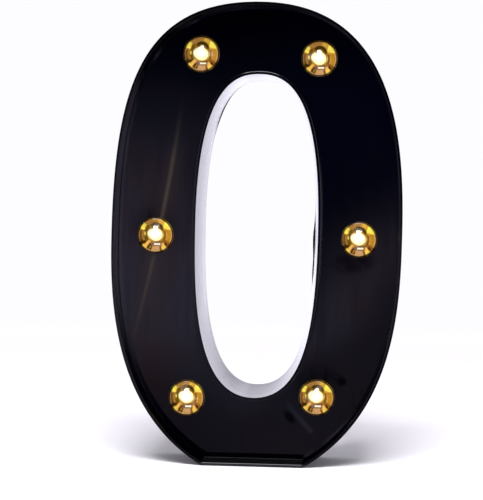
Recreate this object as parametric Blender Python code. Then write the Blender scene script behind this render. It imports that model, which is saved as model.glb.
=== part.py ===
"""Light-up marquee number zero, battery operated, as an assembly of separate pieces.

Frame: metres, +Z up, the front faces -Y, +X is to the right when the front is looked at.
The origin is at the middle of the flat base, at table height, half way through the depth.
"""

import math

import bmesh
import bpy
from mathutils import Vector

MM = 0.001

# ---------------------------------------------------------------- driving dimensions, mm
HEIGHT = 220.0
DEPTH = 45.0
FRONT_Y = -DEPTH / 2
BACK_Y = DEPTH / 2
WALL = 1.5                 # side wall and counter wall

# Outer outline: four quarters of one cubic curve each. Widest point, handles and the
# control point next to the corner of the flat base, for the right and the left side.
TOP_X = 0.2
RIGHT_OUTER = dict(half=68.84, widest_z=114.35, top=63.89, up=41.45, down=36.99,
                   base=24.24, ctrl=(67.91, 26.80))
LEFT_OUTER = dict(half=68.75, widest_z=104.04, top=59.15, up=70.72, down=34.78,
                  base=24.11, ctrl=(63.24, 23.13))
# Counter (the hole in the figure) at the front plane.
COUNTER_TOP = (0.63, 185.90)
COUNTER_BOTTOM = (0.0, 32.77)
RIGHT_COUNTER = dict(half=29.10, widest_z=114.97, top=12.42, up=63.28, down=42.50, bottom=25.95)
LEFT_COUNTER = dict(half=29.02, widest_z=113.81, top=9.39, up=70.78, down=29.18, bottom=28.91)
COUNTER_DRAFT = 2.2        # the hole is this much tighter all round at the back

FACE_FRONT_Y = -2.5        # the lamps' face stands 20 mm behind the front edge
FACE_THICK = 2.0
FACE_BACK_Y = FACE_FRONT_Y + FACE_THICK

# Back cover, let in flush between the side wall and the counter wall.
COVER_GAP = 0.35
COVER_THICK = 1.8
COVER_Y = BACK_Y - COVER_THICK

# Lamps: centres (x, z), top left, top right, middle left, middle right, bottom left, bottom right.
LAMPS = [(-28.95, 195.48), (27.72, 194.37), (-49.40, 108.15),
         (48.50, 108.10), (-32.90, 30.00), (29.72, 31.60)]
LENS_R = 8.25
LENS_WALL = 0.8
LENS_FOOT_Y = -3.2         # where the dome springs from its collar
LENS_RISE = 5.6
FLANGE_R = 10.0
HOLE_R = 8.6
HOLE_MOUTH_R = 9.2
LED_R = 2.5
BOARD_R = 6.5
BOARD_Y = (2.0, 3.0)

# Battery box on the right-hand stroke (seen from the front), two cells side by side.
BOX_X, BOX_Z = 47.2, 108.0
BOX_IN = (30.1, 56.0)      # width, height inside
BOX_WALL = 1.4
BOX_FLOOR_Y = 5.7
CELL_R = 7.25
CELL_L = 49.5
CELL_NUB = 1.0
CELL_Y = 13.3
CELL_DX = 7.5

# Battery door: turns on its top edge, in two sockets in the box's side walls.
DOOR_GAP = 0.3
DOOR_THICK = 1.6
BARREL_R = 1.5
PIVOT_Y = BACK_Y - BARREL_R
PIVOT_Z = BOX_Z + BOX_IN[1] / 2 - 0.35 - BARREL_R
PINTLE_R = 0.7
SOCKET_R = 1.05

# Slide switch in a well above the door.
SWITCH_X, SWITCH_Z = 47.2, 151.0
SWITCH_TRAVEL = 2.5

# Keyhole for a nail or a screw head, at the top of the back.
KEYHOLE_Z = 200.0
KEYHOLE_R = 4.6
KEYHOLE_SLOT = 4.8
KEYHOLE_RISE = 7.5

# Cover screws (x, z).
SCREWS = [(-43.5, 170.0), (43.5, 170.0), (-49.0, 137.0), (-44.5, 62.0), (44.5, 62.0), (0.0, 17.0)]
BOSS_R = 3.2
BOSS_BORE_R = 1.6

QUARTER = 16               # steps in an upper quarter of an outline
LOWER = 11                 # steps from the widest point to the base corner
BASE = 4                   # steps along half of the flat base


# ---------------------------------------------------------------- helpers
def clear_scene():
    for obj in list(bpy.data.objects):
        bpy.data.objects.remove(obj, do_unlink=True)


def material(name, colour, roughness, metallic=0.0, alpha=1.0, emission=0.0):
    mat = bpy.data.materials.new(name)
    mat.use_nodes = True
    shader = next(n for n in mat.node_tree.nodes if n.type == "BSDF_PRINCIPLED")
    shader.inputs["Base Color"].default_value = (*colour, 1.0)
    shader.inputs["Roughness"].default_value = roughness
    shader.inputs["Metallic"].default_value = metallic
    shader.inputs["Alpha"].default_value = alpha
    if emission:
        shader.inputs["Emission Color"].default_value = (*colour, 1.0)
        shader.inputs["Emission Strength"].default_value = emission
    return mat


def finish_mesh(bm, name, mat, smooth=35.0):
    bmesh.ops.recalc_face_normals(bm, faces=bm.faces)
    mesh = bpy.data.meshes.new(name)
    bm.to_mesh(mesh)
    bm.free()
    if mat:
        mesh.materials.append(mat)
    if smooth:
        mesh.shade_smooth()
        mesh.set_sharp_from_angle(angle=math.radians(smooth))
    return mesh


def place(name, mesh, parent=None, location=(0, 0, 0)):
    obj = bpy.data.objects.new(name, mesh)
    bpy.context.scene.collection.objects.link(obj)
    obj.location = Vector(location) * MM
    if parent:
        obj.parent = parent
    return obj


def empty(name, location, parent=None):
    obj = place(name, None, parent, location)
    obj.empty_display_size = 0.01
    return obj


def cutter(obj):
    obj.hide_render = True
    obj.display_type = "WIRE"
    return obj


def boolean(obj, other, operation):
    mod = obj.modifiers.new(operation.lower() + "_" + other.name, "BOOLEAN")
    mod.operation = operation
    mod.solver = "EXACT"
    mod.object = other
    return mod


def baked(obj):
    """The object's mesh with its modifiers applied, for copies that share it."""
    bpy.context.view_layer.update()
    graph = bpy.context.evaluated_depsgraph_get()
    return bpy.data.meshes.new_from_object(obj.evaluated_get(graph))


def rings_mesh(bm, rings, section="closed"):
    """Joins rings of equal length. closed: the last ring joins the first. capped: ends are filled."""
    rows = [[bm.verts.new(Vector(p) * MM) for p in ring] for ring in rings]
    count = len(rows[0])
    last = len(rows) if section == "closed" else len(rows) - 1
    for k in range(last):
        a, b = rows[k], rows[(k + 1) % len(rows)]
        for i in range(count):
            j = (i + 1) % count
            bm.faces.new((a[i], a[j], b[j], b[i]))
    if section == "capped":
        bm.faces.new(rows[0])
        bm.faces.new(rows[-1])


def lathe_mesh(bm, profile, segments, centre=(0, 0, 0), axis="Y", closed=True):
    """Turns (radius, height) points about an axis. A radius of 0 is a pole; otherwise the profile is a ring section."""
    cx, cy, cz = centre

    def point(r, h, t):
        u, v = r * math.cos(t), r * math.sin(t)
        if axis == "Y":
            return (cx + u, cy + h, cz + v)
        if axis == "X":
            return (cx + h, cy + u, cz + v)
        return (cx + u, cy + v, cz + h)

    rows = []
    for r, h in profile:
        if r == 0:
            rows.append([bm.verts.new(Vector(point(0, h, 0)) * MM)])
        else:
            rows.append([bm.verts.new(Vector(point(r, h, 2 * math.pi * i / segments)) * MM)
                         for i in range(segments)])
    last = len(rows) if closed else len(rows) - 1
    for k in range(last):
        a, b = rows[k], rows[(k + 1) % len(rows)]
        for i in range(segments):
            j = (i + 1) % segments
            if len(a) == 1 and len(b) == 1:
                continue
            if len(a) == 1:
                bm.faces.new((a[0], b[i], b[j]))
            elif len(b) == 1:
                bm.faces.new((a[i], a[j], b[0]))
            else:
                bm.faces.new((a[i], a[j], b[j], b[i]))


def box_mesh(bm, low, high):
    """A box from its lowest to its highest corner."""
    rings_mesh(bm, [[(low[0], y, low[2]), (high[0], y, low[2]), (high[0], y, high[2]), (low[0], y, high[2])]
                    for y in (low[1], high[1])], "capped")


def solid(name, build, mat, parent=None, location=(0, 0, 0), smooth=35.0):
    bm = bmesh.new()
    build(bm)
    return place(name, finish_mesh(bm, name, mat, smooth), parent, location)


def tool(name, build):
    return cutter(solid(name, build, None, smooth=None))


def curve_solid(name, points, radius, mat, cyclic=False, bevel_resolution=2):
    """A round wire along points, with filled ends."""
    data = bpy.data.curves.new(name, "CURVE")
    data.dimensions = "3D"
    data.bevel_depth = radius * MM
    data.bevel_resolution = bevel_resolution
    data.use_fill_caps = True
    spline = data.splines.new("POLY")
    spline.points.add(len(points) - 1)
    for i, p in enumerate(points):
        spline.points[i].co = (*(Vector(p) * MM), 1.0)
    data.materials.append(mat)
    return place(name, data)


def through(points, steps):
    """A smooth curve through the points, with the given steps between each two."""
    pts = [Vector(p) for p in points]
    pts = [2 * pts[0] - pts[1]] + pts + [2 * pts[-1] - pts[-2]]
    out = []
    for k in range(1, len(pts) - 2):
        a, b, c, d = pts[k - 1], pts[k], pts[k + 1], pts[k + 2]
        for s in range(steps):
            t = s / steps
            out.append(0.5 * (2 * b + (c - a) * t + (2 * a - 5 * b + 4 * c - d) * t * t
                              + (3 * b - a - 3 * c + d) * t ** 3))
    out.append(pts[-2])
    return [tuple(p) for p in out]


# ---------------------------------------------------------------- outlines
def cubic(p0, p1, p2, p3, t):
    s = 1 - t
    return tuple(s ** 3 * a + 3 * s * s * t * b + 3 * s * t * t * c + t ** 3 * d
                 for a, b, c, d in zip(p0, p1, p2, p3))


def outer_half(d, top_x, side):
    """From the top centre down one side to the middle of the base, both ends left to the caller."""
    top = (top_x, HEIGHT)
    wide = (side * d["half"], d["widest_z"])
    corner = (side * d["base"], 0.0)
    upper = (top, (top[0] + side * d["top"], HEIGHT), (wide[0], wide[1] + d["up"]), wide)
    lower = (wide, (wide[0], wide[1] - d["down"]), (side * d["ctrl"][0], d["ctrl"][1]), corner)
    pts = [cubic(*upper, i / QUARTER) for i in range(QUARTER)]
    pts += [cubic(*lower, i / LOWER) for i in range(LOWER)]
    pts += [(corner[0] * (1 - i / BASE), 0.0) for i in range(BASE)]
    return pts


def counter_half(d, side):
    wide = (side * d["half"], d["widest_z"])
    upper = (COUNTER_TOP, (COUNTER_TOP[0] + side * d["top"], COUNTER_TOP[1]), (wide[0], wide[1] + d["up"]), wide)
    lower = (wide, (wide[0], wide[1] - d["down"]),
             (COUNTER_BOTTOM[0] + side * d["bottom"], COUNTER_BOTTOM[1]), COUNTER_BOTTOM)
    count = LOWER + BASE
    pts = [cubic(*upper, i / QUARTER) for i in range(QUARTER)]
    pts += [cubic(*lower, i / count) for i in range(count)]
    return pts


def whole_loop(half_of, right, left, top, bottom):
    """Clockwise seen from the front: top, right side, bottom, left side."""
    return [top] + half_of(right)[1:] + [bottom] + half_of(left)[1:][::-1]


def offset(loop, distance):
    """The loop moved towards its inside, with mitred corners."""
    count = len(loop)
    normals = []
    for i in range(count):
        (x0, z0), (x1, z1) = loop[i], loop[(i + 1) % count]
        length = math.hypot(x1 - x0, z1 - z0)
        normals.append(((z1 - z0) / length, -(x1 - x0) / length))
    out = []
    for i in range(count):
        (ax, az), (bx, bz) = normals[i - 1], normals[i]
        k = distance / (1 + ax * bx + az * bz)
        out.append((loop[i][0] + k * (ax + bx), loop[i][1] + k * (az + bz)))
    return out


OUTER = ([(TOP_X, HEIGHT)] + outer_half(RIGHT_OUTER, TOP_X, 1)[1:] + [(0.0, 0.0)]
         + outer_half(LEFT_OUTER, TOP_X, -1)[1:][::-1])
COUNTER = ([COUNTER_TOP] + counter_half(RIGHT_COUNTER, 1)[1:] + [COUNTER_BOTTOM]
           + counter_half(LEFT_COUNTER, -1)[1:][::-1])


def outer_ring(inset, y):
    return [(x, y, z) for x, z in offset(OUTER, inset)]


def counter_ring(outset, y):
    """The counter's surface at this depth, moved away from the hole by outset."""
    draft = COUNTER_DRAFT * (y - FRONT_Y) / DEPTH
    return [(x, y, z) for x, z in offset(COUNTER, draft - outset)]


# ---------------------------------------------------------------- materials
def make_materials():
    return dict(
        gloss=material("gloss_black_shell", (0.012, 0.011, 0.016), 0.12),
        cover=material("satin_black_cover", (0.016, 0.015, 0.018), 0.38),
        lens=material("amber_lens", (0.95, 0.72, 0.25), 0.05, alpha=0.45),
        gold=material("gold_reflector", (0.85, 0.58, 0.16), 0.12, metallic=1.0),
        led=material("warm_led", (1.0, 0.86, 0.45), 0.15, emission=4.0),
        board=material("white_circuit_board", (0.75, 0.76, 0.70), 0.45),
        wire=material("clear_ribbon_wire", (0.70, 0.62, 0.48), 0.40),
        red=material("red_wire", (0.55, 0.03, 0.03), 0.40),
        black_wire=material("black_wire", (0.02, 0.02, 0.02), 0.45),
        resistor=material("resistor_body", (0.55, 0.42, 0.27), 0.50),
        nickel=material("nickel_contact", (0.66, 0.64, 0.60), 0.25, metallic=1.0),
        screw=material("black_screw", (0.06, 0.06, 0.065), 0.35, metallic=1.0),
        cell=material("battery_sleeve", (0.10, 0.20, 0.42), 0.30),
        knob=material("switch_knob", (0.02, 0.02, 0.02), 0.45),
        switch=material("switch_can", (0.55, 0.55, 0.56), 0.35, metallic=1.0),
    )


# ---------------------------------------------------------------- pieces
def make_front_shell(m):
    """One moulding: side wall, recessed face with six lamp holes, counter wall and screw bosses."""

    def body(bm):
        rings_mesh(bm, [
            outer_ring(0, FRONT_Y), outer_ring(0, BACK_Y),
            outer_ring(WALL, BACK_Y), outer_ring(WALL, FACE_BACK_Y),
            counter_ring(WALL, FACE_BACK_Y), counter_ring(WALL, BACK_Y),
            counter_ring(0, BACK_Y), counter_ring(0, FRONT_Y),
            counter_ring(WALL, FRONT_Y), counter_ring(WALL, FACE_FRONT_Y),
            outer_ring(WALL, FACE_FRONT_Y), outer_ring(WALL, FRONT_Y),
        ])

    shell = solid("front_shell", body, m["gloss"])

    def holes(bm):
        for x, z in LAMPS:
            lathe_mesh(bm, [(0, FACE_FRONT_Y - 0.6), (HOLE_MOUTH_R + 0.6, FACE_FRONT_Y - 0.6),
                            (HOLE_R, FACE_FRONT_Y + 0.6), (HOLE_R, FACE_BACK_Y + 1.0), (0, FACE_BACK_Y + 1.0)],
                       20, (x, 0, z), closed=False)

    def bosses(bm):
        for x, z in SCREWS:
            lathe_mesh(bm, [(0, FACE_FRONT_Y + 1.0), (BOSS_R, FACE_FRONT_Y + 1.0),
                            (BOSS_R, COVER_Y - 0.3), (0, COVER_Y - 0.3)], 16, (x, 0, z), closed=False)

    def bores(bm):
        for x, z in SCREWS:
            lathe_mesh(bm, [(0, COVER_Y - 14.0), (BOSS_BORE_R, COVER_Y - 14.0),
                            (BOSS_BORE_R, COVER_Y + 1.0), (0, COVER_Y + 1.0)], 12, (x, 0, z), closed=False)

    boolean(shell, tool("lamp_hole_cutter", holes), "DIFFERENCE")
    boolean(shell, tool("boss_guide", bosses), "UNION")
    boolean(shell, tool("boss_bore_cutter", bores), "DIFFERENCE")
    return shell


def make_back_cover(m):
    """Flat cover with the battery box, the switch well, six countersunk holes and the keyhole."""
    inset = WALL + COVER_GAP

    def plate(bm):
        rings_mesh(bm, [outer_ring(inset, COVER_Y), outer_ring(inset, BACK_Y),
                        counter_ring(inset, BACK_Y), counter_ring(inset, COVER_Y)])

    cover = solid("back_cover", plate, m["cover"])
    half_w, half_h = BOX_IN[0] / 2, BOX_IN[1] / 2

    def lumps(bm):
        box_mesh(bm, (BOX_X - half_w - BOX_WALL, BOX_FLOOR_Y - BOX_WALL, BOX_Z - half_h - BOX_WALL),
                 (BOX_X + half_w + BOX_WALL, COVER_Y + 0.8, BOX_Z + half_h + BOX_WALL))
        box_mesh(bm, (SWITCH_X - 9.1, 18.2, SWITCH_Z - 5.1), (SWITCH_X + 9.1, COVER_Y + 0.8, SWITCH_Z + 5.1))

    def pocket(bm):
        box_mesh(bm, (BOX_X - half_w, BOX_FLOOR_Y, BOX_Z - half_h), (BOX_X + half_w, BACK_Y + 1, BOX_Z + half_h))
        box_mesh(bm, (SWITCH_X - 7.7, 19.6, SWITCH_Z - 3.7), (SWITCH_X + 7.7, BACK_Y + 1, SWITCH_Z + 3.7))

    def slots(bm):
        # the switch stem's slot
        box_mesh(bm, (SWITCH_X - 2.9, 17.0, SWITCH_Z - 1.7), (SWITCH_X + 2.9, 20.2, SWITCH_Z + 1.7))
        # the two contact tabs' slots in the upper end wall
        for dx in (-CELL_DX, CELL_DX):
            box_mesh(bm, (BOX_X + dx - 1.6, 8.5, BOX_Z + half_h - 0.5),
                     (BOX_X + dx + 1.6, 9.6, BOX_Z + half_h + BOX_WALL + 0.5))
        # the latch notch in the lower edge of the opening
        box_mesh(bm, (BOX_X - 5.3, COVER_Y - 0.4, BOX_Z - half_h - 1.0),
                 (BOX_X + 5.3, BACK_Y + 1, BOX_Z - half_h + 0.5))
        # the finger recess below the latch
        rings_mesh(bm, [[(BOX_X + a * r, y, BOX_Z - half_h - 1.8 + b * r) for a, b in
                         [(math.cos(math.pi * i / 8), -math.sin(math.pi * i / 8)) for i in range(9)]]
                        for y, r in ((BACK_Y - 1.0, 5.2), (BACK_Y + 1, 7.2))], "capped")

    def sockets(bm):
        lathe_mesh(bm, [(0, -half_w - BOX_WALL - 1), (SOCKET_R, -half_w - BOX_WALL - 1),
                        (SOCKET_R, half_w + BOX_WALL + 1), (0, half_w + BOX_WALL + 1)],
                   12, (BOX_X, PIVOT_Y, PIVOT_Z), axis="X", closed=False)

    def screw_holes(bm):
        for x, z in SCREWS:
            lathe_mesh(bm, [(0, COVER_Y - 1), (1.65, COVER_Y - 1), (1.65, COVER_Y + 0.35), (3.0, BACK_Y - 0.1),
                            (3.0, BACK_Y + 1), (0, BACK_Y + 1)], 16, (x, 0, z), closed=False)

    def keyhole(bm):
        steps = 14
        side = math.asin(KEYHOLE_SLOT / 2 / KEYHOLE_R)
        shape = []
        for i in range(steps + 1):      # the round part, from one side of the slot round to the other
            t = math.pi / 2 + side + (2 * math.pi - 2 * side) * i / steps
            shape.append((KEYHOLE_R * math.cos(t), KEYHOLE_Z + KEYHOLE_R * math.sin(t)))
        for i in range(9):              # the round top of the slot
            t = math.pi * i / 8
            shape.append((KEYHOLE_SLOT / 2 * math.cos(t),
                          KEYHOLE_Z + KEYHOLE_RISE + KEYHOLE_SLOT / 2 * math.sin(t)))
        rings_mesh(bm, [[(x, y, z) for x, z in shape] for y in (COVER_Y - 1, BACK_Y + 1)], "capped")

    def ledges(bm):
        for s in (-1, 1):               # the door's closing stops, in the lower corners of the box
            a, b = sorted((s * (half_w - 1.7), s * (half_w + 0.5)))
            box_mesh(bm, (BOX_X + a, 18.6, BOX_Z - half_h - 0.5),
                     (BOX_X + b, BACK_Y - DOOR_THICK - 0.35, BOX_Z - half_h + 1.9))

    boolean(cover, cutter(solid("box_guide", lumps, None, smooth=None)), "UNION")
    boolean(cover, tool("pocket_cutter", pocket), "DIFFERENCE")
    boolean(cover, tool("ledge_guide", ledges), "UNION")
    boolean(cover, tool("slot_cutter", slots), "DIFFERENCE")
    boolean(cover, tool("socket_cutter", sockets), "DIFFERENCE")
    boolean(cover, tool("screw_hole_cutter", screw_holes), "DIFFERENCE")
    boolean(cover, tool("keyhole_cutter", keyhole), "DIFFERENCE")
    return cover


def make_battery_door(m):
    """Door with a round upper edge, two pintles and a latch tongue. Its origin is on its pivot."""
    pivot = empty("battery_door_pivot", (BOX_X, PIVOT_Y, PIVOT_Z))
    half_w = BOX_IN[0] / 2 - DOOR_GAP
    bottom = BOX_Z - BOX_IN[1] / 2 + DOOR_GAP - PIVOT_Z
    top_y, low_y = BARREL_R, BARREL_R - DOOR_THICK

    def profile(x):
        """Cross-section in (y, z) about the pivot: plate below, barrel at the top."""
        pts = [(x, low_y, bottom), (x, top_y, bottom)]
        pts += [(x, BARREL_R * math.cos(t), BARREL_R * math.sin(t))
                for t in [(math.pi * 1.25) * i / 10 for i in range(11)]]
        pts.append((x, low_y, -BARREL_R - 0.2))
        return pts

    def body(bm):
        rings_mesh(bm, [profile(-half_w), profile(half_w)], "capped")

    door = solid("battery_door", body, m["cover"], pivot)

    def pintles(bm):
        for s in (-1, 1):
            a, b = sorted((s * (half_w - 1.0), s * (half_w + DOOR_GAP + 1.1)))
            lathe_mesh(bm, [(0, a), (PINTLE_R, a), (PINTLE_R, b), (0, b)], 12, axis="X", closed=False)

    def tongue(bm):
        # latch tongue: stands out of the lower edge into the notch of the cover
        box_mesh(bm, (-4.9, low_y + 0.35, bottom - 0.9), (4.9, top_y - 0.25, bottom + 1.2))

    def relief(bm):
        # two slits beside the latch let it flex
        for s in (-1, 1):
            a, b = sorted((s * 5.3, s * 6.3))
            box_mesh(bm, (a, low_y - 1, bottom - 2), (b, top_y + 1, bottom + 8.0))

    def middle(bm):
        # only the two ends of the upper edge are full round; between them it clears the cells
        box_mesh(bm, (-half_w + 2.4, -3.0, -BARREL_R - 1.5), (half_w - 2.4, low_y, BARREL_R + 1.0))

    def grips(bm):
        # three grip ribs are cut back into the latch
        for k in range(3):
            z = bottom + 2.0 + 1.9 * k
            box_mesh(bm, (-4.2, top_y - 0.45, z), (4.2, top_y + 1, z + 0.8))

    for name, build, how in (("barrel_cutter", middle, "DIFFERENCE"), ("pintle_guide", pintles, "UNION"),
                             ("latch_guide", tongue, "UNION"),
                             ("latch_slit_cutter", relief, "DIFFERENCE"), ("grip_cutter", grips, "DIFFERENCE")):
        other = tool(name, build)
        other.parent = pivot
        boolean(door, other, how)
    return door


def make_lamps(m):
    """Six lamps, each a lens, a reflector, a light-emitting diode and a small board behind the face."""
    ball = (LENS_R ** 2 + LENS_RISE ** 2) / (2 * LENS_RISE)
    centre = LENS_FOOT_Y - LENS_RISE + ball
    inner = ball - LENS_WALL
    in_r = LENS_R - LENS_WALL

    def lens(bm):
        steps, edge = 4, math.asin(LENS_R / ball)
        outside = [(ball * math.sin(edge * i / steps), centre - ball * math.cos(edge * i / steps))
                   for i in range(steps + 1)]
        edge_in = math.asin(in_r / inner)
        inside = [(inner * math.sin(edge_in * i / steps), centre - inner * math.cos(edge_in * i / steps))
                  for i in range(steps + 1)]
        profile = outside + [(LENS_R, -0.2), (FLANGE_R, -0.2), (FLANGE_R, 0.8), (in_r, 0.8)] + inside[::-1]
        lathe_mesh(bm, profile, 16, closed=False)

    def reflector(bm):
        rim = in_r - 0.35
        lathe_mesh(bm, [(rim, LENS_FOOT_Y + 0.1), (5.6, LENS_FOOT_Y + 1.9), (3.2, 0.5), (3.2, 1.7),
                        (FLANGE_R, 1.7), (FLANGE_R, 1.1), (rim, 1.1)], 16)

    def led(bm):
        steps = 4
        dome = [(LED_R * math.sin(math.pi / 2 * i / steps), -2.9 - LED_R * math.cos(math.pi / 2 * i / steps))
                for i in range(steps + 1)]
        lathe_mesh(bm, dome + [(LED_R, 0.7), (2.85, 0.7), (2.85, 1.7), (0, 1.7)], 12, closed=False)

    def board(bm):
        lathe_mesh(bm, [(0, BOARD_Y[0]), (BOARD_R, BOARD_Y[0]), (BOARD_R, BOARD_Y[1]), (0, BOARD_Y[1])],
                   16, closed=False)

    meshes = {}
    for i, (x, z) in enumerate(LAMPS, 1):
        axis = empty(f"lamp_{i}_axis", (x, 0, z))
        for part, build, mat in (("lamp_lens", lens, m["lens"]), ("reflector_cup", reflector, m["gold"]),
                                 ("led", led, m["led"]), ("led_board", board, m["board"])):
            if part not in meshes:
                bm = bmesh.new()
                build(bm)
                meshes[part] = finish_mesh(bm, part, mat)
            place(f"{part}_{i}", meshes[part], axis)


def make_cells(m):
    """Two cells side by side, one each way up, with their contacts."""
    low = BOX_Z - BOX_IN[1] / 2
    high = BOX_Z + BOX_IN[1] / 2

    def cell(bm):
        r = CELL_R
        lathe_mesh(bm, [(0, 0), (r - 1.2, 0), (r - 0.4, 0.3), (r, 0.9), (r, CELL_L - 1.0), (r - 0.5, CELL_L - 0.3),
                        (r - 1.4, CELL_L), (2.75, CELL_L), (2.75, CELL_L + CELL_NUB - 0.2),
                        (2.5, CELL_L + CELL_NUB), (0, CELL_L + CELL_NUB)], 18, axis="Z", closed=False)

    bm = bmesh.new()
    cell(bm)
    mesh = finish_mesh(bm, "battery", m["cell"])
    place("battery_1", mesh, None, (BOX_X - CELL_DX, CELL_Y, high - 1.3 - CELL_L - CELL_NUB))
    two = place("battery_2", mesh, None, (BOX_X + CELL_DX, CELL_Y, low + 1.0 + CELL_L + CELL_NUB))
    two.rotation_euler = (math.pi, 0, 0)

    def plate(name, dx):
        obj = solid(name, lambda bm: box_mesh(bm, (BOX_X + dx - 6.2, 6.6, high - 0.7),
                                              (BOX_X + dx + 6.2, 19.4, high - 0.3)), m["nickel"])
        tab = tool(name + "_tab_guide", lambda bm: box_mesh(bm, (BOX_X + dx - 1.25, 8.85, high - 0.55),
                                                            (BOX_X + dx + 1.25, 9.25, high + BOX_WALL + 2.4)))
        boolean(obj, tab, "UNION")

    plate("positive_contact", -CELL_DX)
    plate("negative_contact", CELL_DX)
    solid("bridge_contact", lambda bm: box_mesh(bm, (BOX_X - 13.6, 6.6, low + 0.3), (BOX_X + 13.6, 18.2, low + 0.7)),
          m["nickel"])

    def spring(name, dx, start, end):
        """Conical spring, wide at its plate, in its compressed state."""
        turns, per_turn, wire = 2.4, 10, 0.36
        steps = int(turns * per_turn)
        points = []
        for i in range(steps + 1):
            f = i / steps
            t = 2 * math.pi * turns * f
            r = 5.2 - 2.7 * f
            points.append((BOX_X + dx + r * math.cos(t), CELL_Y + r * math.sin(t), start + (end - start) * f))
        curve_solid(name, points, wire, m["nickel"], bevel_resolution=1)

    spring("negative_spring", CELL_DX, high - 0.7 - 0.7, high - 4.5 + 0.75)
    spring("bridge_spring", -CELL_DX, low + 0.7 + 0.7, low + 4.2 - 0.75)


def make_switch(m):
    """Slide switch: a can behind the well's floor and a knob that runs along X."""

    def can(bm):
        box_mesh(bm, (SWITCH_X - 5.5, 12.7, SWITCH_Z - 3.0), (SWITCH_X + 5.5, 17.9, SWITCH_Z + 3.0))

    def hollow(bm):
        box_mesh(bm, (SWITCH_X - 4.0, 14.6, SWITCH_Z - 1.9), (SWITCH_X + 4.0, 16.7, SWITCH_Z + 1.9))

    def mouth(bm):
        box_mesh(bm, (SWITCH_X - 2.8, 16.2, SWITCH_Z - 1.5), (SWITCH_X + 2.8, 18.6, SWITCH_Z + 1.5))

    body = solid("switch_body", can, m["switch"])
    boolean(body, tool("switch_hollow_cutter", hollow), "DIFFERENCE")
    boolean(body, tool("switch_mouth_cutter", mouth), "DIFFERENCE")

    start = empty("switch_knob_start", (SWITCH_X - SWITCH_TRAVEL / 2, 0, SWITCH_Z))

    def rect(hx, hz, y):
        return [(-hx, y, -hz), (hx, y, -hz), (hx, y, hz), (-hx, y, hz)]

    def knob(bm):
        rings = [rect(2.3, 1.5, 15.0), rect(2.3, 1.5, 16.3), rect(1.15, 1.1, 16.3), rect(1.15, 1.1, 20.0),
                 rect(2.5, 3.0, 20.0), rect(2.5, 3.0, 21.4)]
        # ridged top: three ridges across the travel
        rings_mesh(bm, rings, "capped")

    def ridges(bm):
        for x in (-1.25, 0.0, 1.25):
            box_mesh(bm, (x - 0.3, 21.1, -2.6), (x + 0.3, 22.0, 2.6))

    knob_obj = solid("switch_knob", knob, m["knob"], start)
    other = tool("knob_ridge_guide", ridges)
    other.parent = start
    boolean(knob_obj, other, "UNION")


def make_screws(m):
    """Countersunk cross-head screws, all alike."""

    def screw(bm):
        lathe_mesh(bm, [(0, BACK_Y - 0.35), (2.55, BACK_Y - 0.35), (2.6, BACK_Y - 0.5), (1.3, COVER_Y + 0.15),
                        (1.3, COVER_Y - 11.0), (0.4, COVER_Y - 12.6), (0, COVER_Y - 12.6)], 14, closed=False)

    def cross(bm):
        box_mesh(bm, (-1.5, BACK_Y - 1.15, -0.3), (1.5, BACK_Y + 0.5, 0.3))
        box_mesh(bm, (-0.3, BACK_Y - 1.15, -1.5), (0.3, BACK_Y + 0.5, 1.5))

    first = solid("screw_pattern", screw, m["screw"])
    other = tool("screw_cross_cutter", cross)
    mod = boolean(first, other, "DIFFERENCE")
    mod.use_self = True
    mesh = baked(first)
    bpy.data.objects.remove(first, do_unlink=True)
    bpy.data.objects.remove(other, do_unlink=True)
    mesh.name = "cover_screw"
    for i, (x, z) in enumerate(SCREWS, 1):
        place(f"cover_screw_{i}", mesh, None, (x, 0, z))


def ribbon_mesh(bm, points, half_width, half_thick):
    """Two-core flat wire laid in the plane of the face, along points (x, z) at one depth."""
    rings = []
    count = len(points)
    for i, p in enumerate(points):
        a = Vector(points[max(i - 1, 0)])
        b = Vector(points[min(i + 1, count - 1)])
        along = (b - a).normalized()
        side = Vector((along.z, 0, -along.x))
        up = Vector((0, 1, 0))
        waist = 0.55
        shape = [(1, 0), (0.55, 1), (0, waist), (-0.55, 1), (-1, 0), (-0.55, -1), (0, -waist), (0.55, -1)]
        rings.append([tuple(Vector(p) + side * (u * half_width) + up * (v * half_thick)) for u, v in shape])
    rings_mesh(bm, rings, "capped")


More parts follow.
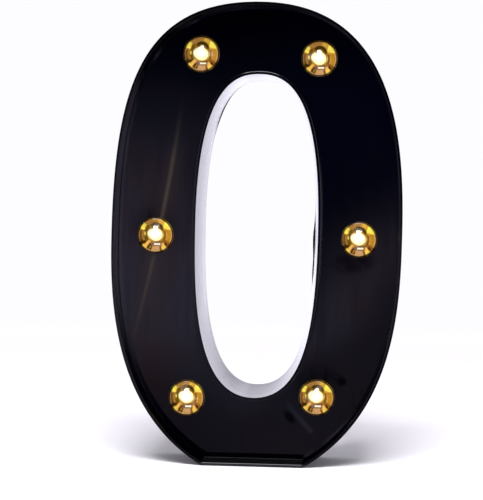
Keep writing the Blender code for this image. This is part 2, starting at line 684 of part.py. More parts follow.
def make_wires(m):
    """Ribbon from lamp to lamp, and the leads between the batteries, the switch and the lamps."""
    y = (BOARD_Y[0] + BOARD_Y[1]) / 2

    def run(name, first, second, via):
        a, b = Vector((LAMPS[first][0], y, LAMPS[first][1])), Vector((LAMPS[second][0], y, LAMPS[second][1]))
        mids = [Vector((x, y, z)) for x, z in via]
        start = a + (mids[0] - a).normalized() * (BOARD_R + 0.4)
        end = b + (mids[-1] - b).normalized() * (BOARD_R + 0.4)
        pts = through([start] + mids + [end], 3)
        solid(name, lambda bm: ribbon_mesh(bm, pts, 1.15, 0.55), m["wire"])

    run("ribbon_wire_1", 2, 0, [(-42.0, 124.0), (-38.0, 145.0), (-35.0, 168.0), (-33.0, 182.0)])
    run("ribbon_wire_2", 0, 1, [(-17.0, 200.5), (-6.0, 203.0), (6.0, 203.0), (16.0, 199.5)])
    run("ribbon_wire_3", 1, 3, [(33.0, 182.0), (35.5, 165.0), (39.0, 145.0), (42.5, 124.0)])
    run("ribbon_wire_4", 3, 5, [(43.0, 94.0), (38.5, 78.0), (36.5, 62.0), (33.0, 46.0)])
    run("ribbon_wire_5", 5, 4, [(16.5, 27.5), (6.0, 26.0), (-6.0, 26.0), (-19.0, 27.0)])

    tab_z = BOX_Z + BOX_IN[1] / 2 + BOX_WALL + 2.9
    lamp = LAMPS[3]
    curve_solid("switch_lead", through([
        (BOX_X - CELL_DX, 9.05, tab_z), (BOX_X - CELL_DX, 9.2, tab_z + 2.0), (BOX_X - 5.5, 9.6, tab_z + 5.2),
        (BOX_X - 3.6, 10.6, SWITCH_Z - 1.4), (BOX_X - 3.2, 12.3, SWITCH_Z)], 3), 0.6, m["red"])
    resistor = Vector((60.0, 2.6, 143.0))
    along = Vector((0.25, 0, -1)).normalized()
    curve_solid("resistor_lead", through([
        (BOX_X + 3.2, 12.3, SWITCH_Z), (BOX_X + 4.0, 9.6, SWITCH_Z + 1.6), (BOX_X + 8.0, 6.2, SWITCH_Z + 3.6),
        (57.6, 3.3, SWITCH_Z + 2.6), tuple(resistor - along * 7.4)], 3), 0.6, m["red"])

    def body(bm):
        r = 1.2
        lathe_mesh(bm, [(0, -6.9), (0.3, -6.9), (0.3, -3.3), (r, -2.9), (r, -1.9), (r - 0.15, -1.6), (r - 0.15, 1.6),
                        (r, 1.9), (r, 2.9), (0.3, 3.3), (0.3, 6.9), (0, 6.9)], 10, axis="Z", closed=False)

    res = solid("series_resistor", body, m["resistor"], None, tuple(resistor))
    res.rotation_euler = (0, math.atan2(along.x, along.z) + math.pi, 0)
    a = Vector((lamp[0], y, lamp[1]))
    end = a + Vector((1.0, 0, 0.75)).normalized() * (BOARD_R + 0.35)
    curve_solid("lamp_lead_positive", through([
        tuple(resistor + along * 7.3), (62.8, y, 130.0), (62.4, y, 122.0), (59.5, y, 116.0), tuple(end)], 3),
        0.6, m["red"])
    end = a + Vector((0.35, 0, 1.0)).normalized() * (BOARD_R + 0.35)
    curve_solid("lamp_lead_negative", through([
        (BOX_X + CELL_DX, 9.05, tab_z), (BOX_X + CELL_DX, 8.8, tab_z + 1.4), (BOX_X + CELL_DX - 0.6, 6.0, tab_z + 3.0),
        (BOX_X + CELL_DX - 1.6, 3.2, tab_z + 1.2), (BOX_X + CELL_DX - 2.2, y, tab_z - 5.0),
        (BOX_X + 4.5, y, 124.0), tuple(end)], 3), 0.6, m["black_wire"])


def main():
    clear_scene()
    m = make_materials()
    make_front_shell(m)
    make_back_cover(m)
    make_battery_door(m)
    make_lamps(m)
    make_cells(m)
    make_switch(m)
    make_screws(m)
    make_wires(m)
    bpy.context.view_layer.update()


main()
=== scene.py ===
"""Looks of the light-up marquee number zero: a deep glossy black shell with a recessed face, six amber
domes over gold reflectors with lit diodes, a satin back cover with a battery door, and a white studio.

Row frame: metres, +Z up, the front faces -Y, +X to the right when the front is looked at.
"""

import math

import bmesh
import bpy
from mathutils import Matrix, Vector


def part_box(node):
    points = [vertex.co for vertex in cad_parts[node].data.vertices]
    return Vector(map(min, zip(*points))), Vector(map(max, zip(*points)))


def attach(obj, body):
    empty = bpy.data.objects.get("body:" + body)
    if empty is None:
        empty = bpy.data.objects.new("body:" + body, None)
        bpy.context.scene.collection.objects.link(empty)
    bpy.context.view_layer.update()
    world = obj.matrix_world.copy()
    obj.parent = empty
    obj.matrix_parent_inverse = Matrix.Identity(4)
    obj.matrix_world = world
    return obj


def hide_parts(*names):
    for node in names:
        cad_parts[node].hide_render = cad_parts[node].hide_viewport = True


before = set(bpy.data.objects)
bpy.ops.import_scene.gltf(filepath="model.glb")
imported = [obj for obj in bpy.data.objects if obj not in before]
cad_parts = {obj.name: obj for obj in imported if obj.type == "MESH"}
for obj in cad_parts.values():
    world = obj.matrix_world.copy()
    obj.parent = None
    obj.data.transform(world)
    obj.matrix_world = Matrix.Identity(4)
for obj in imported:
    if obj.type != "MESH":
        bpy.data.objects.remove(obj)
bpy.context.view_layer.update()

MM = 0.001
SCENE = bpy.context.scene

# ------------------------------------------------------------------ dimensions, mm (those of the construction)
HEIGHT, DEPTH = 220.0, 45.0
FRONT_Y, BACK_Y = -DEPTH / 2, DEPTH / 2
WALL = 1.5
TOP_X = 0.2
RIGHT_OUTER = dict(half=68.84, widest_z=114.35, top=63.89, up=41.45, down=36.99,
                   base=24.24, ctrl=(67.91, 26.80))
LEFT_OUTER = dict(half=68.75, widest_z=104.04, top=59.15, up=70.72, down=34.78,
                  base=24.11, ctrl=(63.24, 23.13))
COUNTER_TOP = (0.63, 185.90)
COUNTER_BOTTOM = (0.0, 32.77)
RIGHT_COUNTER = dict(half=29.10, widest_z=114.97, top=12.42, up=63.28, down=42.50, bottom=25.95)
LEFT_COUNTER = dict(half=29.02, widest_z=113.81, top=9.39, up=70.78, down=29.18, bottom=28.91)
COUNTER_DRAFT = 2.2
FACE_FRONT_Y, FACE_THICK = -2.5, 2.0
FACE_BACK_Y = FACE_FRONT_Y + FACE_THICK
COVER_GAP, COVER_THICK = 0.35, 1.8
COVER_Y = BACK_Y - COVER_THICK

LAMPS = [(-28.95, 195.48), (27.72, 194.37), (-49.40, 108.15),
         (48.50, 108.10), (-32.90, 30.00), (29.72, 31.60)]
LENS_R, LENS_WALL, LENS_FOOT_Y, LENS_RISE, FLANGE_R = 8.25, 0.8, -3.2, 5.6, 10.0
LENS_SKIN = 0.30
HOLE_R = 8.6
LED_R = 2.5

BOX_X, BOX_Z = 47.2, 108.0
BOX_IN = (30.1, 56.0)
BOX_WALL, BOX_FLOOR_Y = 1.4, 5.7
CELL_R, CELL_L, CELL_NUB, CELL_Y, CELL_DX = 7.25, 49.5, 1.0, 13.3, 7.5
DOOR_GAP, DOOR_THICK, BARREL_R = 0.3, 1.6, 1.5
PIVOT_Y = BACK_Y - BARREL_R
PIVOT_Z = BOX_Z + BOX_IN[1] / 2 - 0.35 - BARREL_R
PINTLE_R, SOCKET_R = 0.7, 1.05
SWITCH_X, SWITCH_Z, SWITCH_TRAVEL = 47.2, 151.0, 2.5
ON_SIDE = -1                # the knob stands towards -X when the lamps are on
KEYHOLE_Z, KEYHOLE_R, KEYHOLE_SLOT, KEYHOLE_RISE = 200.0, 4.6, 4.8, 7.5
SCREWS = [(-43.5, 170.0), (43.5, 170.0), (-49.0, 137.0), (-44.5, 62.0), (44.5, 62.0), (0.0, 17.0)]
BOSS_R, BOSS_BORE_R = 3.2, 1.6

QUARTER, LOWER, BASE = 56, 44, 14


# ------------------------------------------------------------------ outlines
def cubic(p0, p1, p2, p3, t):
    s = 1 - t
    return tuple(s ** 3 * a + 3 * s * s * t * b + 3 * s * t * t * c + t ** 3 * d
                 for a, b, c, d in zip(p0, p1, p2, p3))


def outer_half(d, side):
    top, wide, corner = (TOP_X, HEIGHT), (side * d["half"], d["widest_z"]), (side * d["base"], 0.0)
    upper = (top, (top[0] + side * d["top"], HEIGHT), (wide[0], wide[1] + d["up"]), wide)
    lower = (wide, (wide[0], wide[1] - d["down"]), (side * d["ctrl"][0], d["ctrl"][1]), corner)
    pts = [cubic(*upper, i / QUARTER) for i in range(QUARTER)]
    pts += [cubic(*lower, i / LOWER) for i in range(LOWER)]
    pts += [(corner[0] * (1 - i / BASE), 0.0) for i in range(BASE)]
    return pts


def counter_half(d, side):
    wide = (side * d["half"], d["widest_z"])
    upper = (COUNTER_TOP, (COUNTER_TOP[0] + side * d["top"], COUNTER_TOP[1]), (wide[0], wide[1] + d["up"]), wide)
    lower = (wide, (wide[0], wide[1] - d["down"]),
             (COUNTER_BOTTOM[0] + side * d["bottom"], COUNTER_BOTTOM[1]), COUNTER_BOTTOM)
    count = LOWER + BASE
    pts = [cubic(*upper, i / QUARTER) for i in range(QUARTER)]
    pts += [cubic(*lower, i / count) for i in range(count)]
    return pts


def offset(loop, distance):
    """The loop moved towards its inside, with mitred corners."""
    count = len(loop)
    normals = []
    for i in range(count):
        (x0, z0), (x1, z1) = loop[i], loop[(i + 1) % count]
        length = math.hypot(x1 - x0, z1 - z0)
        normals.append(((z1 - z0) / length, -(x1 - x0) / length))
    out = []
    for i in range(count):
        (ax, az), (bx, bz) = normals[i - 1], normals[i]
        k = distance / (1 + ax * bx + az * bz)
        out.append((loop[i][0] + k * (ax + bx), loop[i][1] + k * (az + bz)))
    return out


def round_corners(loop, radius, steps=5):
    """Replaces the two sharp corners of the flat base by arcs of about this radius, keeping the point count even."""
    count = len(loop)
    out = []
    for i in range(count):
        (x0, z0), (x1, z1), (x2, z2) = loop[i - 1], loop[i], loop[(i + 1) % count]
        ax, az, bx, bz = x1 - x0, z1 - z0, x2 - x1, z2 - z1
        turn = abs(math.atan2(ax * bz - az * bx, ax * bx + az * bz))
        if turn < math.radians(20):
            out.append((x1, z1))
            continue
        cut = radius * math.tan(turn / 2)
        la, lb = math.hypot(ax, az), math.hypot(bx, bz)
        start = (x1 - ax / la * cut, z1 - az / la * cut)
        end = (x1 + bx / lb * cut, z1 + bz / lb * cut)
        for k in range(steps + 1):
            t = k / steps
            s = 1 - t
            out.append((s * s * start[0] + 2 * s * t * x1 + t * t * end[0],
                        s * s * start[1] + 2 * s * t * z1 + t * t * end[1]))
    return out


OUTER = ([(TOP_X, HEIGHT)] + outer_half(RIGHT_OUTER, 1)[1:] + [(0.0, 0.0)]
         + outer_half(LEFT_OUTER, -1)[1:][::-1])
COUNTER = ([COUNTER_TOP] + counter_half(RIGHT_COUNTER, 1)[1:] + [COUNTER_BOTTOM]
           + counter_half(LEFT_COUNTER, -1)[1:][::-1])


def ring_of(kind, d, y):
    """kind o: the outer outline moved inwards by d, its two base corners rounded. kind c: the counter at this depth,
    moved away from the hole by d. kind l: the same with the uneven lip of the rear edge."""
    if kind == "o":
        return [(x, y, z) for x, z in round_corners(offset(OUTER, d), 0.45 if d < 0.5 else 0.6)]
    u = (y - FRONT_Y) / DEPTH
    draft = COUNTER_DRAFT * u
    out = []
    for (x0, z0), (x1, z1) in zip(offset(COUNTER, draft - d), offset(COUNTER, draft - d + 1.0)):
        t = 0.0
        if d < 0.5:                                         # the visible wall bows a little between its edges
            t = 1.2 * u * (1 - u) * max(-1.0, min(1.0, (z0 - 60.0) / 20.0))
        if kind == "l":
            t += lip(x0, z0)
        out.append((x0 + (x1 - x0) * t, y, z0 + (z1 - z0) * t))
    return out


def lip(x, z):
    """How far the rear edge of the counter stands into the hole: a thin bead, thicker at two places."""
    def hump(value, centre, width):
        return math.exp(-((value - centre) / width) ** 2)

    amount = 0.03
    if x > 0:
        amount += 0.95 * hump(z, 106.5, 9.0) + 0.45 * hump(z, 91.5, 5.5)
    else:
        amount += 0.28 * hump(z, 168.0, 9.0)
    return amount


def arc(kind, cd, cy, r, a0, a1, steps):
    """Part of a circle in the section plane, as (kind, d, y) points."""
    out = []
    for k in range(steps + 1):
        a = math.radians(a0 + (a1 - a0) * k / steps)
        out.append((kind, cd + r * math.cos(a), cy + r * math.sin(a)))
    return out


# ------------------------------------------------------------------ mesh helpers
def stitch(bm, a, b):
    """Joins two closed rings of vertices that may differ in count, nearest point to nearest point."""
    na, nb = len(a), len(b)
    if na == nb:
        for i in range(na):
            j = (i + 1) % na
            bm.faces.new((a[i], a[j], b[j], b[i]))
        return
    start = min(range(nb), key=lambda k: (b[k].co - a[0].co).length)
    i = j = 0
    while i < na or j < nb:
        a0, a1 = a[i % na], a[(i + 1) % na]
        b0, b1 = b[(start + j) % nb], b[(start + j + 1) % nb]
        if j >= nb or (i < na and (a1.co - b0.co).length <= (a0.co - b1.co).length):
            bm.faces.new((a0, a1, b0))
            i += 1
        else:
            bm.faces.new((a0, b1, b0))
            j += 1


def section_mesh(bm, section, closed=True):
    """Sweeps a (kind, d, y) section round the outlines."""
    rows = [[bm.verts.new(Vector(p) * MM) for p in ring_of(*s)] for s in section]
    last = len(rows) if closed else len(rows) - 1
    for k in range(last):
        stitch(bm, rows[k], rows[(k + 1) % len(rows)])
    return rows


def rings_mesh(bm, rings, capped=True):
    rows = [[bm.verts.new(Vector(p) * MM) for p in ring] for ring in rings]
    for k in range(len(rows) - 1):
        stitch(bm, rows[k], rows[k + 1])
    if capped:
        bm.faces.new(rows[0])
        bm.faces.new(rows[-1])
    else:
        stitch(bm, rows[-1], rows[0])


def lathe(bm, profile, segments, centre=(0, 0, 0), axis="Y", closed=False, shape=None):
    """Turns (radius, height) points about an axis. shape(r, h, t) may move a point."""
    cx, cy, cz = centre

    def point(r, h, t):
        if shape:
            r, h = shape(r, h, t)
        u, v = r * math.cos(t), r * math.sin(t)
        if axis == "Y":
            return (cx + u, cy + h, cz + v)
        if axis == "X":
            return (cx + h, cy + u, cz + v)
        return (cx + u, cy + v, cz + h)

    rows = []
    for r, h in profile:
        if r == 0:
            rows.append([bm.verts.new(Vector(point(0, h, 0)) * MM)])
        else:
            rows.append([bm.verts.new(Vector(point(r, h, 2 * math.pi * i / segments)) * MM)
                         for i in range(segments)])
    last = len(rows) if closed else len(rows) - 1
    for k in range(last):
        a, b = rows[k], rows[(k + 1) % len(rows)]
        for i in range(segments):
            j = (i + 1) % segments
            if len(a) == 1 and len(b) == 1:
                continue
            if len(a) == 1:
                bm.faces.new((a[0], b[i], b[j]))
            elif len(b) == 1:
                bm.faces.new((a[i], a[j], b[0]))
            else:
                bm.faces.new((a[i], a[j], b[j], b[i]))


def round_profile(points, radius, steps=3):
    """A (r, h) profile with its inner corners rounded. A third value on a point sets its own radius."""
    out = []
    for i, p in enumerate(points):
        rad = p[2] if len(p) > 2 else radius
        if i in (0, len(points) - 1) or rad <= 0:
            out.append(p[:2])
            continue
        a, b, c = Vector(points[i - 1][:2]), Vector(p[:2]), Vector(points[i + 1][:2])
        u, v = (a - b), (c - b)
        reach = min(rad, u.length * 0.45, v.length * 0.45)
        s, e = b + u.normalized() * reach, b + v.normalized() * reach
        for k in range(steps + 1):
            t = k / steps
            q = s * (1 - t) ** 2 + b * (2 * t * (1 - t)) + e * t * t
            out.append((q.x, q.y))
    return out


def rounded_rect(hx, hz, r, steps=4):
    """Corner points of a rectangle with round corners, anticlockwise seen along +Y from behind."""
    out = []
    for cx, cz, a0 in ((hx - r, hz - r, 0), (-hx + r, hz - r, 90), (-hx + r, -hz + r, 180), (hx - r, -hz + r, 270)):
        for k in range(steps + 1):
            t = math.radians(a0 + 90 * k / steps)
            out.append((cx + r * math.cos(t), cz + r * math.sin(t)))
    return out


def soft_box(bm, low, high, r=0.2, corner=None, steps=3):
    """A block with rounded edges: round corners in the (x, z) outline and round edges at both y ends."""
    cx, cz = (low[0] + high[0]) / 2, (low[2] + high[2]) / 2
    hx, hz = (high[0] - low[0]) / 2, (high[2] - low[2]) / 2
    corner = corner or r
    rings = []
    for y0, sign in ((low[1], 1), (high[1], -1)):
        part = []
        for k in range(steps + 1):
            t = math.pi / 2 * k / steps
            inset = r * (1 - math.sin(t))
            part.append((inset, y0 + sign * r * (1 - math.cos(t))))
        rings.append(part if sign == 1 else part[::-1])
    rows = []
    for inset, y in rings[0] + rings[1]:
        rows.append([(cx + x, y, cz + z) for x, z in
                     rounded_rect(hx - inset, hz - inset, max(corner - inset, 0.02), 3)])
    rings_mesh(bm, rows)


def plain_box(bm, low, high):
    rings_mesh(bm, [[(low[0], y, low[2]), (high[0], y, low[2]), (high[0], y, high[2]), (low[0], y, high[2])]
                    for y in (low[1], high[1])])


def link(obj):
    SCENE.collection.objects.link(obj)
    return obj


def mesh_object(name, build, mats=(), smooth=35.0, location=(0, 0, 0)):
    bm = bmesh.new()
    build(bm)
    bmesh.ops.recalc_face_normals(bm, faces=bm.faces)
    mesh = bpy.data.meshes.new(name)
    bm.to_mesh(mesh)
    bm.free()
    for mat in mats:
        mesh.materials.append(mat)
    if smooth:
        mesh.shade_smooth()
        mesh.set_sharp_from_angle(angle=math.radians(smooth))
    obj = link(bpy.data.objects.new(name, mesh))
    obj.location = Vector(location) * MM
    return obj


def carve(obj, steps, smooth=35.0):
    """Applies booleans (operation, build) to obj's mesh, then shades it smooth with sharp edges by angle."""
    tools = []
    for k, (operation, build) in enumerate(steps):
        cutter = mesh_object(f"tool_{k}", build, smooth=None, location=(0, 0, 0))
        cutter.location = obj.location
        mod = obj.modifiers.new(f"step_{k}", "BOOLEAN")
        mod.operation, mod.solver, mod.object = operation, "EXACT", cutter
        tools.append(cutter)
    bpy.context.view_layer.update()
    graph = bpy.context.evaluated_depsgraph_get()
    mesh = bpy.data.meshes.new_from_object(obj.evaluated_get(graph))
    old = obj.data
    obj.modifiers.clear()
    mesh.name = old.name + "_carved"
    obj.data = mesh
    for t in tools:
        bpy.data.objects.remove(t, do_unlink=True)
    bm = bmesh.new()
    bm.from_mesh(mesh)
    bmesh.ops.remove_doubles(bm, verts=bm.verts, dist=1e-7)
    bm.to_mesh(mesh)
    bm.free()
    mesh.shade_smooth()
    mesh.set_sharp_from_angle(angle=math.radians(smooth))
    return obj


def weigh(obj):
    """Large flat faces keep their own normals next to round edges."""
    mod = obj.modifiers.new("weighted", "WEIGHTED_NORMAL")
    mod.mode, mod.weight, mod.keep_sharp = "FACE_AREA", 100, True
    return obj


def through(points, steps):
    pts = [Vector(p) for p in points]
    pts = [2 * pts[0] - pts[1]] + pts + [2 * pts[-1] - pts[-2]]
    out = []
    for k in range(1, len(pts) - 2):
        a, b, c, d = pts[k - 1], pts[k], pts[k + 1], pts[k + 2]
        for s in range(steps):
            t = s / steps
            out.append(0.5 * (2 * b + (c - a) * t + (2 * a - 5 * b + 4 * c - d) * t * t
                              + (3 * b - a - 3 * c + d) * t ** 3))
    out.append(pts[-2])
    return out


# ------------------------------------------------------------------ node helpers
def node(nt, kind, ins=None, **attrs):
    n = nt.nodes.new(kind)
    for key, value in attrs.items():
        setattr(n, key, value)
    for key, value in (ins or {}).items():
        socket = n.inputs[key]
        if isinstance(value, bpy.types.NodeSocket):
            nt.links.new(value, socket)
        elif isinstance(value, (tuple, list)) and len(value) == 3 and socket.type == "RGBA":
            socket.default_value = (*value, 1.0)
        else:
            socket.default_value = value
    return n


def math_node(nt, operation, a, b=None, c=None, clamp=False):
    ins = {0: a}
    if b is not None:
        ins[1] = b
    if c is not None:
        ins[2] = c
    return node(nt, "ShaderNodeMath", ins, operation=operation, use_clamp=clamp).outputs[0]


def ramp(nt, factor, stops, interpolation="LINEAR"):
    n = node(nt, "ShaderNodeValToRGB", {"Fac": factor})
    cr = n.color_ramp
    cr.interpolation = interpolation
    while len(cr.elements) < len(stops):
        cr.elements.new(0.5)
    for e, (pos, colour) in zip(cr.elements, stops):
        e.position = pos
        e.color = (*colour, 1.0) if isinstance(colour, (tuple, list)) else (colour, colour, colour, 1.0)
    return n.outputs["Color"]


def map_range(nt, value, a, b, c, d, kind="SMOOTHSTEP"):
    return node(nt, "ShaderNodeMapRange", {"Value": value, "From Min": a, "From Max": b, "To Min": c, "To Max": d},
                interpolation_type=kind, clamp=True).outputs["Result"]


def mix_colour(nt, factor, a, b, blend="MIX"):
    n = node(nt, "ShaderNodeMix", data_type="RGBA", blend_type=blend)
    for socket, value in ((n.inputs[0], factor), (n.inputs[6], a), (n.inputs[7], b)):
        if isinstance(value, bpy.types.NodeSocket):
            nt.links.new(value, socket)
        elif isinstance(value, (tuple, list)):
            socket.default_value = (*value, 1.0)
        else:
            socket.default_value = value
    return n.outputs[2]


def material(name):
    mat = bpy.data.materials.new(name)
    mat.use_nodes = True
    nt = mat.node_tree
    nt.nodes.clear()
    out = node(nt, "ShaderNodeOutputMaterial")
    p = node(nt, "ShaderNodeBsdfPrincipled")
    nt.links.new(p.outputs["BSDF"], out.inputs["Surface"])
    return mat, nt, p


def feed(nt, p, name, value):
    if isinstance(value, bpy.types.NodeSocket):
        nt.links.new(value, p.inputs[name])
    elif isinstance(value, (tuple, list)) and len(value) == 3:
        p.inputs[name].default_value = (*value, 1.0)
    else:
        p.inputs[name].default_value = value


def coords(nt):
    return node(nt, "ShaderNodeTexCoord").outputs["Object"]


def noise(nt, vector, scale, detail=2.0, roughness=0.5, distortion=0.0):
    return node(nt, "ShaderNodeTexNoise", {"Vector": vector, "Scale": scale, "Detail": detail,
                                           "Roughness": roughness, "Distortion": distortion}).outputs["Fac"]


def stretched(nt, vector, scale):
    return node(nt, "ShaderNodeMapping", {"Vector": vector, "Scale": scale}, vector_type="POINT").outputs["Vector"]


def bump(nt, height, distance, strength=1.0, normal=None):
    ins = {"Height": height, "Distance": distance, "Strength": strength}
    if normal is not None:
        ins["Normal"] = normal
    return node(nt, "ShaderNodeBump", ins).outputs["Normal"]


# ------------------------------------------------------------------ materials
def shell_material():
    """Polished black moulding: almost no colour of its own, a faint painted streak of reflected light through the
    middle left lamp where the surface is also rougher, dust on the surfaces that look up, drag marks along the counter
    wall, slight waviness of the flat face."""
    mat, nt, p = material("shell_gloss_black")
    at = coords(nt)
    xyz = node(nt, "ShaderNodeSeparateXYZ", {0: at})
    x, y, z = xyz.outputs
    facing = node(nt, "ShaderNodeSeparateXYZ", {0: node(nt, "ShaderNodeTexCoord").outputs["Normal"]})
    front = map_range(nt, facing.outputs[1], -0.92, -0.99, 0.0, 1.0)
    # painted light: a slightly bent upright streak of painted reflected light across the left stroke, broken into
    # fainter and stronger lengths; the same line also makes the surface rougher
    rise = math_node(nt, "SUBTRACT", z, 0.108)
    centre = math_node(nt, "MULTIPLY_ADD", rise, 0.195, -0.0481)
    centre = math_node(nt, "MULTIPLY_ADD", math_node(nt, "MULTIPLY", rise, rise), -0.55, centre)
    away = math_node(nt, "ABSOLUTE", math_node(nt, "SUBTRACT", x, centre))
    width = map_range(nt, z, 0.06, 0.16, 0.0014, 0.0019, "LINEAR")
    line = math_node(nt, "SUBTRACT", 1.0, math_node(nt, "DIVIDE", away, width), clamp=True)
    along = ramp(nt, map_range(nt, z, 0.055, 0.175, 0.0, 1.0, "LINEAR"),
                 [(0.0, 0.0), (0.12, 0.35), (0.30, 0.75), (0.44, 0.50), (0.60, 1.0), (0.74, 0.80), (0.82, 0.30),
                  (0.92, 0.06), (1.0, 0.0)])
    line = math_node(nt, "MULTIPLY", math_node(nt, "POWER", line, 1.5), along)
    line = math_node(nt, "MULTIPLY", line, front)
    # painted light: a wider, warm painted glow round the streak
    glow = math_node(nt, "SUBTRACT", 1.0, math_node(nt, "DIVIDE", away, 0.0058), clamp=True)
    glow = math_node(nt, "MULTIPLY", math_node(nt, "MULTIPLY", glow, along), front)
    cloud = noise(nt, at, 24.0, 3.0, 0.5)
    specks = map_range(nt, noise(nt, at, 2600.0, 2.0, 0.6), 0.72, 0.80, 0.0, 0.5)
    base = mix_colour(nt, cloud, (0.00010, 0.00010, 0.00022), (0.00045, 0.00040, 0.00070))
    # the painted glow and the painted streak of reflected light go into the base colour
    base = mix_colour(nt, glow, base, (0.0046, 0.0030, 0.0026))
    base = mix_colour(nt, line, base, (0.034, 0.028, 0.021))
    dust = map_range(nt, facing.outputs[2], 0.85, 0.97, 0.0, 1.0)
    dust = math_node(nt, "MULTIPLY", dust, map_range(nt, noise(nt, at, 300.0, 4.0, 0.6), 0.25, 0.7, 0.35, 1.0))
    base = mix_colour(nt, dust, base, (0.0066, 0.0062, 0.0078))
    base = mix_colour(nt, math_node(nt, "MULTIPLY", specks, 0.12), base, (0.006, 0.006, 0.007))
    # faint handling marks on the right: a hazy smear and two greasy spots; under the middle right lamp a painted shade,
    # a patch where the face reflects nothing
    flat = node(nt, "ShaderNodeCombineXYZ", {0: x, 2: z}).outputs[0]
    smear = feature(nt, flat, {}, ("box", "", 21.6, 21.6, 9.4, 1.1, -48, 1.0))
    smear = math_node(nt, "MULTIPLY", math_node(nt, "MULTIPLY", smear, front), 0.85)
    base = mix_colour(nt, smear, base, (0.0066, 0.0060, 0.0088))
    spot = feature(nt, flat, {}, ("patch", "", 41.6, 39.7, 2.3, 2.1, 0, 0.45))
    blur = feature(nt, flat, {}, ("patch", "", 38.5, 42.0, 4.5, 2.2, -20, 0.6))
    notch = feature(nt, flat, {}, ("patch", "", 17.0, 21.8, 1.8, 3.4, 40, 0.5))
    # painted shade: a dark patch under the middle right lamp, where the face's reflection is taken away
    lamp_shade_patch = feature(nt, flat, {}, ("patch", "", 46.5, 97.0, 9.0, 4.8, 8, 0.55))
    lamp_shade_patch = math_node(nt, "MULTIPLY", lamp_shade_patch, map_range(nt, noise(nt, at, 160.0, 3.0, 0.6), 0.30, 0.55, 0.35, 1.0))
    grease_and_painted_shade = math_node(nt, "MAXIMUM", math_node(nt, "MAXIMUM", spot, notch), math_node(nt, "MULTIPLY", blur, 0.35))
    grease_and_painted_shade = math_node(nt, "MAXIMUM", grease_and_painted_shade, math_node(nt, "MULTIPLY", lamp_shade_patch, 0.8))
    grease_and_painted_shade = math_node(nt, "MULTIPLY", math_node(nt, "MULTIPLY", grease_and_painted_shade, front), 0.75)
    haze = map_range(nt, math_node(nt, "ABSOLUTE", math_node(nt, "SUBTRACT", math_node(nt, "ABSOLUTE", x), 0.0485)),
                     0.004, 0.015, 1.0, 0.0)
    haze = math_node(nt, "MULTIPLY", haze, map_range(nt, noise(nt, at, 34.0, 3.0, 0.6), 0.38, 0.62, 0.25, 1.0))
    haze = math_node(nt, "MULTIPLY", math_node(nt, "MULTIPLY", haze, front), map_range(nt, z, 0.165, 0.13, 0.0, 1.0))
    sheen = mix_colour(nt, haze, (0.93, 0.96, 1.0), (1.0, 0.87, 0.80))
    # the greasy spots and the painted shade under the lamp take the reflection away
    feed(nt, p, "Specular Tint", mix_colour(nt, grease_and_painted_shade, sheen, (0.0, 0.0, 0.0)))
    feed(nt, p, "Base Color", base)
    marks = noise(nt, stretched(nt, at, (260.0, 260.0, 26.0)), 1.0, 4.0, 0.6)
    rough = map_range(nt, marks, 0.35, 0.75, 0.035, 0.075, "LINEAR")
    rough = math_node(nt, "MULTIPLY_ADD", line, 0.16, rough)
    drag = noise(nt, stretched(nt, at, (14.0, 620.0, 14.0)), 1.0, 4.0, 0.62)
    walls = math_node(nt, "SUBTRACT", 1.0, map_range(nt, math_node(nt, "ABSOLUTE", facing.outputs[1]), 0.3, 0.6,
                                                     0.0, 1.0))
    hole = node(nt, "ShaderNodeVectorMath", {0: local(nt, at, 0.2, 109.3, 0.0, (33.5, 81.0))},
                operation="LENGTH").outputs["Value"]
    # the side wall's inner face: better polished, and its surface opens a degree or two towards the front
    inward = node(nt, "ShaderNodeCombineXYZ", {0: x, 2: math_node(nt, "SUBTRACT", z, 0.110)}).outputs[0]
    inward = node(nt, "ShaderNodeVectorMath", {0: inward, 1: node(nt, "ShaderNodeTexCoord").outputs["Normal"]},
                  operation="DOT_PRODUCT").outputs["Value"]
    lining = math_node(nt, "MULTIPLY", walls, map_range(nt, inward, -0.010, -0.030, 0.0, 1.0))
    lining = math_node(nt, "MULTIPLY", lining, map_range(nt, hole, 1.02, 1.12, 0.0, 1.0))
    low_right = math_node(nt, "MULTIPLY", map_range(nt, z, 0.078, 0.050, 0.0, 1.0), map_range(nt, x, 0.0, 0.02, 0.0, 1.0))
    lean = math_node(nt, "MULTIPLY", lining, math_node(nt, "MULTIPLY_ADD", low_right, -0.014, -0.018))
    shoulder = math_node(nt, "MAXIMUM", map_range(nt, z, 0.186, 0.200, 1.0, 0.0), map_range(nt, x, -0.037, -0.029, 0.0, 1.0))
    lean = math_node(nt, "MULTIPLY", lean, shoulder)                                        # not on the upper left bend
    leaning = node(nt, "ShaderNodeVectorMath", {0: node(nt, "ShaderNodeNewGeometry").outputs["Normal"],
                                                1: node(nt, "ShaderNodeCombineXYZ", {1: lean}).outputs[0]}).outputs[0]
    leaning = node(nt, "ShaderNodeVectorMath", {0: leaning}, operation="NORMALIZE").outputs[0]
    rough = math_node(nt, "MULTIPLY_ADD", lining, -0.020, rough)
    walls = math_node(nt, "MULTIPLY", walls, map_range(nt, hole, 0.98, 1.10, 1.0, 0.0))     # only in the counter
    streak = map_range(nt, drag, 0.40, 0.64, 0.0, 1.0)
    rough = math_node(nt, "MULTIPLY_ADD", math_node(nt, "MULTIPLY", walls, streak), 0.085, rough)
    feed(nt, p, "Roughness", rough)
    p.inputs["Specular IOR Level"].default_value = 0.35
    wavy = bump(nt, noise(nt, at, 22.0, 1.0, 0.4), 0.00004, normal=leaning)
    scored = bump(nt, math_node(nt, "MULTIPLY", walls, drag), 0.00009, normal=wavy)
    peel = bump(nt, noise(nt, at, 420.0, 2.0, 0.5), 0.0000012, normal=scored)
    feed(nt, p, "Normal", peel)
    return mat


